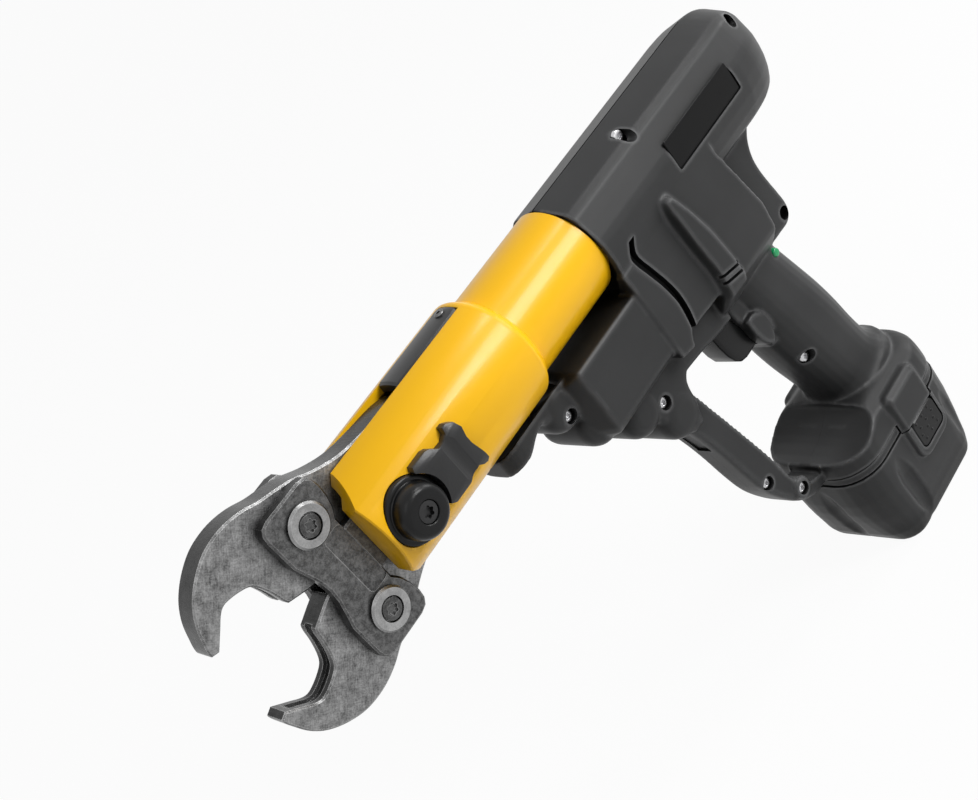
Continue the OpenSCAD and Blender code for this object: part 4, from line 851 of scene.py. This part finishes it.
def makeHead():
    h = head
    piece = turned("press_head", "YZ", (0, 0), h["profile"], h["count"])
    tools = [bar("bore", "YZ", (0, 0), radius, low, high, h["count"]) for radius, low, high in h["bore"]]
    forkRoom = bar("forkRoom", "YZ", (0, 0), 26.5, 110, 180, h["count"])
    combine(forkRoom, box("forkSides", (100, -h["fork"], -60), (190, h["fork"], 60)), "INTERSECT")
    tools.append(forkRoom)
    tools.append(box("jawSlot", (h["slotFrom"], -h["slot"], -60), (190, h["slot"], 60)))
    tools.append(prism("noseTop", h["noseCut"], "XZ", -60, 60))
    tools.append(prism("noseLow", [(x, -z) for x, z in h["noseCut"]], "XZ", -60, 60))
    tools.append(bar("pinHole", "XZ", h["pin"], 7.05, -60, 60, 48))
    tools.append(bar("knobSeat", "XZ", h["pin"], h["seatRadius"], h["seat"], 60, 64))
    tools.append(bar("pinSeat", "XZ", h["pin"], h["seatRadius"], -60, -h["seat"], 64))
    middle, radius, low, high = h["springRoom"]
    tools += [box("latchRoom", *h["latchRoom"]), bar("springRoom", "YZ", middle, radius, low, high, 24)]
    cutAway(piece, tools)
    softenEdges(piece, 0.45, 2, 32)
    settle(piece, "swivel_head", "fork_head", 32)
    print("head made:", len(piece.data.polygons), "faces")


def makeLatch():
    piece = slab("latch", latch["outline"], "XZ", 24, 45, 0.3)
    combine(piece, bar("latchCrown", "YZ", (0, 0), latch["outer"], 90, 160, 128), "INTERSECT")
    combine(piece, box("latchFlat", (90, 0, -30), (160, latch["flat"], 30)), "INTERSECT")
    middle, radius = latch["scoop"]
    cutAway(piece, [bar("headForm", "YZ", (0, 0), latch["inner"], 80, 170, 128),
                    bar("thumbScoop", "XY", middle, radius, -30, 30, 48)])
    combine(piece, box("latchBody", *latch["body"]), "UNION")
    cutAway(piece, [bar("flangeRoom", "XZ", head["pin"], head["seatRadius"], 0, 60, 64)])
    softenEdges(piece, 0.6, 2, 30)
    settle(piece, "pin_latch", "pin_latch")


makeHead()
makeLatch()

knob = {
    "profile": [(25.72, 14.2), (26.1, 14.75), (28.6, 14.75), (29.3, 14.5), (29.7, 13.9), (29.7, 12.6), (30.1, 12.2),
                (33.8, 12.1), (36.4, 11.6), (37.8, 10.7), (38.5, 9.6), (38.7, 8.8), (38.7, 5.5), (38.4, 5.15),
                (35.1, 5.15)],
    "bore": (7.02, 20, 29.72),
    "screw": [(35.15, 5.0), (37.6, 5.0), (38.0, 4.7), (38.2, 4.0)],
    "shank": (1.8, 26, 35.3),
    "star": (2.8, 1.95, 36.4),
}


def makeKnob():
    k = knob
    piece = turned("knob", "XZ", head["pin"], k["profile"], 72)
    cutAway(piece, [bar("pinBore", "XZ", head["pin"], k["bore"][0], k["bore"][1], k["bore"][2], 48),
                    bar("screwBore", "XZ", head["pin"], 1.85, 20, 60, 24)])
    settle(piece, "holding_pin", "pin_knob", 35, slot="soft_black")
    screw = turned("knob_bolt", "XZ", head["pin"], k["screw"], 48)
    combine(screw, bar("shank", "XZ", head["pin"], *k["shank"], 24), "UNION")
    cutAway(screw, [prism("star", driverStar(head["pin"], k["star"][0], k["star"][1]), "XZ", k["star"][2], 60)])
    settle(screw, "holding_pin", "knob_screw", 35)


makeKnob()
print("latch and knob made")

jaw = {
    "outline": [(113, 25.4), (121, 27.4), (139.6, 29.4), (151.4, 31.6), (163, 36.2), (172.5, 41.4), (181, 44.4),
                (188, 46.6), (196, 50), (204, 51.9), (211, 52.2), (218, 51.2), (224, 48.9), (230.4, 45.2),
                (236, 40.4), (240.2, 34.6), (243, 28), (244.8, 21.9), (244.7, 20.9), (241.3, 19.75), (234.6, 25.4),
                (229.4, 29.6), (227, 30.4), (224, 30.1), (218, 28.2), (214.8, 26.4), (213.2, 24.2), (210.6, 16.6),
                (209.2, 9.6), (208.6, 8.4), (198.3, 4.7), (194.6, 3.7), (192.4, 5.6), (189, 9.2), (183.8, 8.4),
                (179.9, 8.5), (164.5, 7.9), (154.3, 7.5), (151.5, 7.6), (147.6, 7.1), (144.7, 6.2), (140.4, 6.55),
                (136, 7.35), (131.6, 8.35), (127.2, 9.85), (122.8, 11.6), (118.5, 13.7), (114.2, 16.1)],
    "half": 6.5,
    "rim": 0.8,
    "pin": (183, 26.7),
    "pinBore": 7.1,
    "groove": [(240.5, 17), (237.2, 25.2), (230.6, 31.2), (227, 32.4), (223.4, 32), (217, 29.9), (213.4, 27.8),
               (211.4, 24.8), (208.8, 17), (207.6, 11), (207.4, 7), (220, 4)],
    "grooveHalf": 2.7,
}


def makeJaw(name, sign):
    outline = [(x, sign * z) for x, z in curved(jaw["outline"])]
    groove = [(x, sign * z) for x, z in jaw["groove"]]
    piece = slab(name + "_form", outline, "XZ", -jaw["half"], jaw["half"], jaw["rim"])
    middle = (jaw["pin"][0], sign * jaw["pin"][1])
    cutAway(piece, [bar("pinBore", "XZ", middle, jaw["pinBore"], -20, 20, 56),
                    prism("pressGroove", groove, "XZ", -jaw["grooveHalf"], jaw["grooveHalf"])])
    settle(piece, name, name, 30, knurled)


plate = {
    "front": [(172.4, 18.3), (169.8, 22.4), (168.2, 28), (167.7, 34), (168.3, 38), (170.3, 40.7), (174, 41.8),
              (194, 41.8), (197.4, 40.8), (199.2, 38.2), (199.6, 35), (199.6, 19), (197.6, 12.4), (195.9, 6),
              (195.3, 0)],
    "tongue": [(172.4, 12.8), (151.5, 12.8), (145.3, 11.2), (140.6, 6.9), (138.8, 0)],
    "low": 6.9,
    "high": 13.4,
    "rim": 0.9,
    "field": ((172.9, -16.4), (183.6, 16.4)),
    "fieldDepth": 0.5,
}


def makePlate(name, side):
    q = plate
    half = q["tongue"][::-1] + q["front"]
    outline = half + [(x, -z) for x, z in reversed(half[1:-1])]
    low, high = sideSpan(side, q["low"], q["high"])
    piece = slab(name + "_form", outline, "XZ", low, high, q["rim"])
    tools = [bar("bore", "XZ", (jaw["pin"][0], sign * jaw["pin"][1]), 7.03, -40, 40, 56) for sign in (-1, 1)]
    tools.append(bar("holdBore", "XZ", head["pin"], 7.08, -40, 40, 56))
    low, high = sideSpan(side, q["high"] - q["fieldDepth"], beyond)
    middle = [(a + b) / 2 for a, b in zip(*q["field"])]
    span = [b - a for a, b in zip(*q["field"])]
    tools.append(prism("field", roundRect(span[0], span[1], 2.5, middle), "XZ", low, high))
    cutAway(piece, tools)
    settle(piece, "swivel_head", name, 30, forged)


washer = {
    "ring": [(13.42, 9.4), (13.7, 9.85), (14.9, 9.85), (15.9, 8.9), (15.9, 5.7), (15.2, 5.25), (14.65, 5.2)],
    "bore": 1.7,
    "screw": [(14.68, 4.9), (15.4, 5.05), (15.75, 4.8), (15.9, 4.2)],
    "shank": (1.55, 8.2, 14.9),
    "star": (2.9, 2.0, 14.95),
}


def makeWashers():
    w = washer
    rings, screws = [], []
    for sign in (-1, 1):
        middle = (jaw["pin"][0], sign * jaw["pin"][1])
        for side in (-1, 1):
            ring = turned("ring", "XZ", middle, [(side * d, r) for d, r in w["ring"]], 64)
            cutAway(ring, [bar("bore", "XZ", middle, w["bore"], -40, 40, 20)])
            rings.append(ring)
            screw = turned("screw", "XZ", middle, [(side * d, r) for d, r in w["screw"]], 40)
            low, high = sideSpan(side, w["shank"][1], w["shank"][2])
            combine(screw, bar("shank", "XZ", middle, w["shank"][0], low, high, 20), "UNION")
            low, high = sideSpan(side, w["star"][2], 40)
            cutAway(screw, [prism("star", driverStar(middle, w["star"][0], w["star"][1]), "XZ", low, high)])
            screws.append(screw)
    settle(join("tong_washers", rings), "swivel_head", "pin_washers", 30, washerSteel)
    settle(join("tong_screws", screws), "swivel_head", "washer_screws", 30, darkSteel)


for name, sign in (("upper_jaw", 1), ("lower_jaw", -1)):
    makeJaw(name, sign)
for name, side in (("left_plate", 1), ("right_plate", -1)):
    makePlate(name, side)
makeWashers()
print("tong made")

strip = {
    "ends": [(65.06, 5.0), (65.4, 6.0), (66.2, 6.7), (67.4, 7.1), (69, 7.22), (109.6, 7.22), (110.95, 7.0)],
    "inner": 26.56,
    "outer": 30.95,
    "bevel": 0.9,
    "rivet": [(30.6, 2.4), (31.5, 2.4), (31.9, 2.05), (32.05, 1.5)],
    "rivetAt": (70, 0),
    "hexSocket": (1.15, 31.2),
}


def stripRing(x, half, top):
    inner = [half * (1 - i / 4) for i in range(9)]
    outer = [-half] + [(half - strip["bevel"]) * (i / 5 - 1) for i in range(11)] + [half]
    low = [(x, y, math.sqrt(strip["inner"] ** 2 - y * y)) for y in inner]
    lift = [(x, y, math.sqrt(top ** 2 - y * y) - (strip["bevel"] if abs(y) == half else 0)) for y in outer]
    return low + lift


def makeStrips():
    rails, rivets = [], []
    tops = [strip["outer"] - drop for drop in (0.9, 0.4, 0.1, 0, 0, 0, 0.8)]
    for sign in (1, -1):
        rings = [stripRing(x, half, top) for (x, half), top in zip(strip["ends"], tops)]
        rails.append(loft("rail", [[(x, y, sign * z) for x, y, z in ring] for ring in rings]))
        rivet = turned("rivet", "XY", strip["rivetAt"], [(sign * d, r) for d, r in strip["rivet"]], 32)
        radius, floor = strip["hexSocket"]
        low, high = sideSpan(sign, floor, 40)
        cutAway(rivet, [prism("hexSocket", ringOf(radius, 6, strip["rivetAt"]), "XY", low, high)])
        rivets.append(rivet)
    for rail, sign in zip(rails, (1, -1)):
        low, high = sideSpan(sign, 30.5, 40)
        cutAway(rail, [bar("rivetSeat", "XY", strip["rivetAt"], 2.5, low, high, 32)])
    settle(join("slot_rails", rails), "swivel_head", "slot_strips", 30)
    settle(join("rail_rivets", rivets), "swivel_head", "strip_screws", 30, darkSteel)


makeStrips()

finger = {
    "outline": [(-64, -88.3), (-41, -88.3), (-36, -88.5), (-34.4, -90), (-34.3, -93), (-34.9, -100), (-36.2, -107.5),
                (-38.2, -113), (-41.4, -116.4), (-45.5, -117.6), (-50, -117.6), (-64, -117.6)],
    "half": 8.5,
    "rim": 1.4,
    "springRoom": ((0, -98), 3.9, -66, -48.9),
}


def makeTrigger():
    f = finger
    piece = slab("trigger_lever", f["outline"], "XZ", -f["half"], f["half"], f["rim"])
    softenEdges(piece, 0.8, 2, 25)
    middle, radius, low, high = f["springRoom"]
    cutAway(piece, [bar("springRoom", "YZ", middle, radius, low, high, 32)])
    settle(piece, "trigger", "trigger")


makeTrigger()

# each coil is copied from its node onto its body, shifted where a shift is given; its joint, axis, seated end and
# travel are listed with it
springs = {
    "return_coil": {"node": "return_spring", "body": "press_ram", "joint": "press_stroke", "along": 0, "seat": min,
                    "travel": 32},
    "latch_coil": {"node": "latch_spring", "body": "swivel_head", "joint": "pin_latch_slide", "along": 0, "seat": min,
                   "travel": 5, "shift": (0, -1.2, 0)},
    "left_coil": {"node": "left_button_spring", "body": "battery", "joint": "left_button_press", "along": 1,
                  "seat": min, "travel": 2.5},
    "right_coil": {"node": "right_button_spring", "body": "battery", "joint": "right_button_press", "along": 1,
                   "seat": max, "travel": 2.5},
}


def makeSpring(name, s):
    node = nodes[s["node"]]
    coil = twin(node, name)
    coil.parent = None
    coil.matrix_world = node.matrix_world.copy()
    startFresh()
    coil.select_set(True)
    bpy.context.view_layer.objects.active = coil
    bpy.ops.object.transform_apply(location=True, rotation=True, scale=True)
    bpy.ops.object.mode_set(mode="EDIT")
    bpy.ops.mesh.select_all(action="SELECT")
    bpy.ops.mesh.remove_doubles(threshold=1e-6)
    bpy.ops.transform.translate(value=[step / 1000 for step in s.get("shift", (0, 0, 0))])
    bpy.ops.object.mode_set(mode="OBJECT")
    settle(coil, s["body"], s["node"])
    spots = [vertex.co[s["along"]] for vertex in coil.data.vertices]
    length = max(spots) - min(spots)
    axis = [float(i == s["along"]) for i in range(3)]
    anchor = [part * s["seat"](spots) for part in axis]
    1 - s["travel"] / 1000 / length
    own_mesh(coil)
    print(name, "made:", round(length * 1000, 2), "mm long")


for name, row in springs.items():
    makeSpring(name, row)

trim = {
    "panel": {"middle": casing["panelBay"]["middle"], "size": (58.2, 15.8), "corner": 0.9, "y": (27.13, 28.0),
              "rim": 0.35},
    "lamp": {"middle": casing["lampHole"]["middle"],
             "dome": [(12.7, 2.4), (17.5, 2.4), (18.2, 2.1), (18.5, 1.4), (18.6, 0.6)]},
    "screwRadius": 2.95,
    "screwShank": 1.7,
    "screwTip": -8.9,
    "screwStar": (1.7, 1.15),
}


def makeTrim():
    t = trim
    panel = t["panel"]
    sheets = []
    for side in (-1, 1):
        low, high = sideSpan(side, panel["y"][0], panel["y"][1])
        sheets.append(slab("sheet", roundRect(panel["size"][0], panel["size"][1], panel["corner"], panel["middle"]),
                           "XZ", low, high, panel["rim"]))
    settle(join("bare_panels", sheets), "drive_unit", "name_panels", 30, panelBlack)
    dome = turned("lamp_dome", "XZ", t["lamp"]["middle"], t["lamp"]["dome"], 28)
    settle(dome, "drive_unit", "status_lamp", 60)
    heads = []
    for x, z, top in casing["screws"]:
        radius, seat = t["screwRadius"], top - casing["screwBay"]["deep"]
        profile = [(t["screwTip"], 0.8), (t["screwTip"] + 2, t["screwShank"]), (seat, t["screwShank"]),
                   (seat, radius), (top - 0.7, radius), (top - 0.25, radius * 0.88), (top, radius * 0.6)]
        screw = turned("screw", "XZ", (x, z), profile, 28)
        cutAway(screw, [prism("star", driverStar((x, z), *t["screwStar"], 24), "XZ", top - 1.4, top + 5)])
        heads.append(screw)
    settle(join("case_screws", heads), "drive_unit", "housing_screws", 30, brightSteel)


makeTrim()
print("trigger, panels, lamp and screws made")

# camera fitted to the photograph: place in metres, unit vectors to the right and up
view = {
    "place": (0.43439, 0.51776, 0.55793),
    "right": (-0.538194, 0.618230, -0.572834),
    "up": (-0.736642, -0.014803, 0.676121),
    "focalShare": 1488.95 / 978,
    "sensor": 36.0,
}


def setCamera():
    right, up = Vector(view["right"]), Vector(view["up"])
    back = right.cross(up)
    data = bpy.data.cameras.new("camera")
    data.sensor_width = view["sensor"]
    data.lens = view["sensor"] * view["focalShare"]
    data.clip_start = 0.01
    camera = bpy.data.objects.new("camera", data)
    camera.matrix_world = Matrix((right, up, back)).transposed().to_4x4()
    camera.location = view["place"]
    bpy.context.scene.collection.objects.link(camera)
    bpy.context.scene.camera = camera


setCamera()

studio = {
    "floorSize": 60.0,
    "floorTone": (0.8, 0.8, 0.8, 1),
    "floorRoughness": 0.9,
    "floorGlow": 0.95,
    "worldTone": (0.92, 0.94, 0.96, 1),
    "worldStrength": 0.12,
    "lamps": [
        ("key", (-0.5, 1.0, 0.9), 0.5, 13.5),
        ("crown", (-0.76, 0.38, 1.34), 0.32, 5),
        ("front", (0.9, 0.6, 1.5), 0.8, 2),
        ("back", (-1.2, 0.35, 0.62), 0.5, 5),
    ],
    "aim": (0.1, 0, 0.2),
}


# gives the rays that reach the viewer a white surface in place of the lit one
def showWhite(net, lit, white, share, output):
    kinds = ("Is Camera Ray", "Is Glossy Ray", "Is Transmission Ray")
    first, second, third = [net.add("ShaderNodeLightPath", out=kind) for kind in kinds]
    seen = first.maths("MAXIMUM", second).maths("MAXIMUM", third) * share
    mixed = net.add("ShaderNodeMixShader", None, {"Fac": seen, 1: Wire(net, lit.outputs[0]), 2: white})
    net.feed(net.tree.nodes[output].inputs["Surface"], mixed)


def setStudio():
    startFresh()
    bpy.ops.mesh.primitive_plane_add(size=studio["floorSize"], location=(0, 0, 0))
    floor = bpy.context.object
    floor.name = "floor"
    paint = Paint("floor")
    paint.set(Base_Color=studio["floorTone"], Roughness=studio["floorRoughness"])
    showWhite(paint, paint.shader, paint.add("ShaderNodeEmission"), studio["floorGlow"], "Material Output")
    floor.data.materials.append(paint.material)
    world = bpy.data.worlds.new("studio")
    bpy.context.scene.world = world
    world.use_nodes = True
    sky = Net(world.node_tree)
    soft = sky.tree.nodes["Background"]
    soft.inputs["Color"].default_value = studio["worldTone"]
    soft.inputs["Strength"].default_value = studio["worldStrength"]
    showWhite(sky, soft, sky.add("ShaderNodeBackground", None, {"Color": (1, 1, 1, 1)}), 1.0, "World Output")
    for name, place, size, power in studio["lamps"]:
        data = bpy.data.lights.new(name, "AREA")
        data.size = size
        data.energy = power
        lamp = bpy.data.objects.new(name, data)
        lamp.location = place
        lamp.rotation_euler = (Vector(studio["aim"]) - Vector(place)).to_track_quat("-Z", "Y").to_euler()
        bpy.context.scene.collection.objects.link(lamp)


setStudio()
bpy.context.scene.view_settings.view_transform = "Standard"
print("camera and studio set")
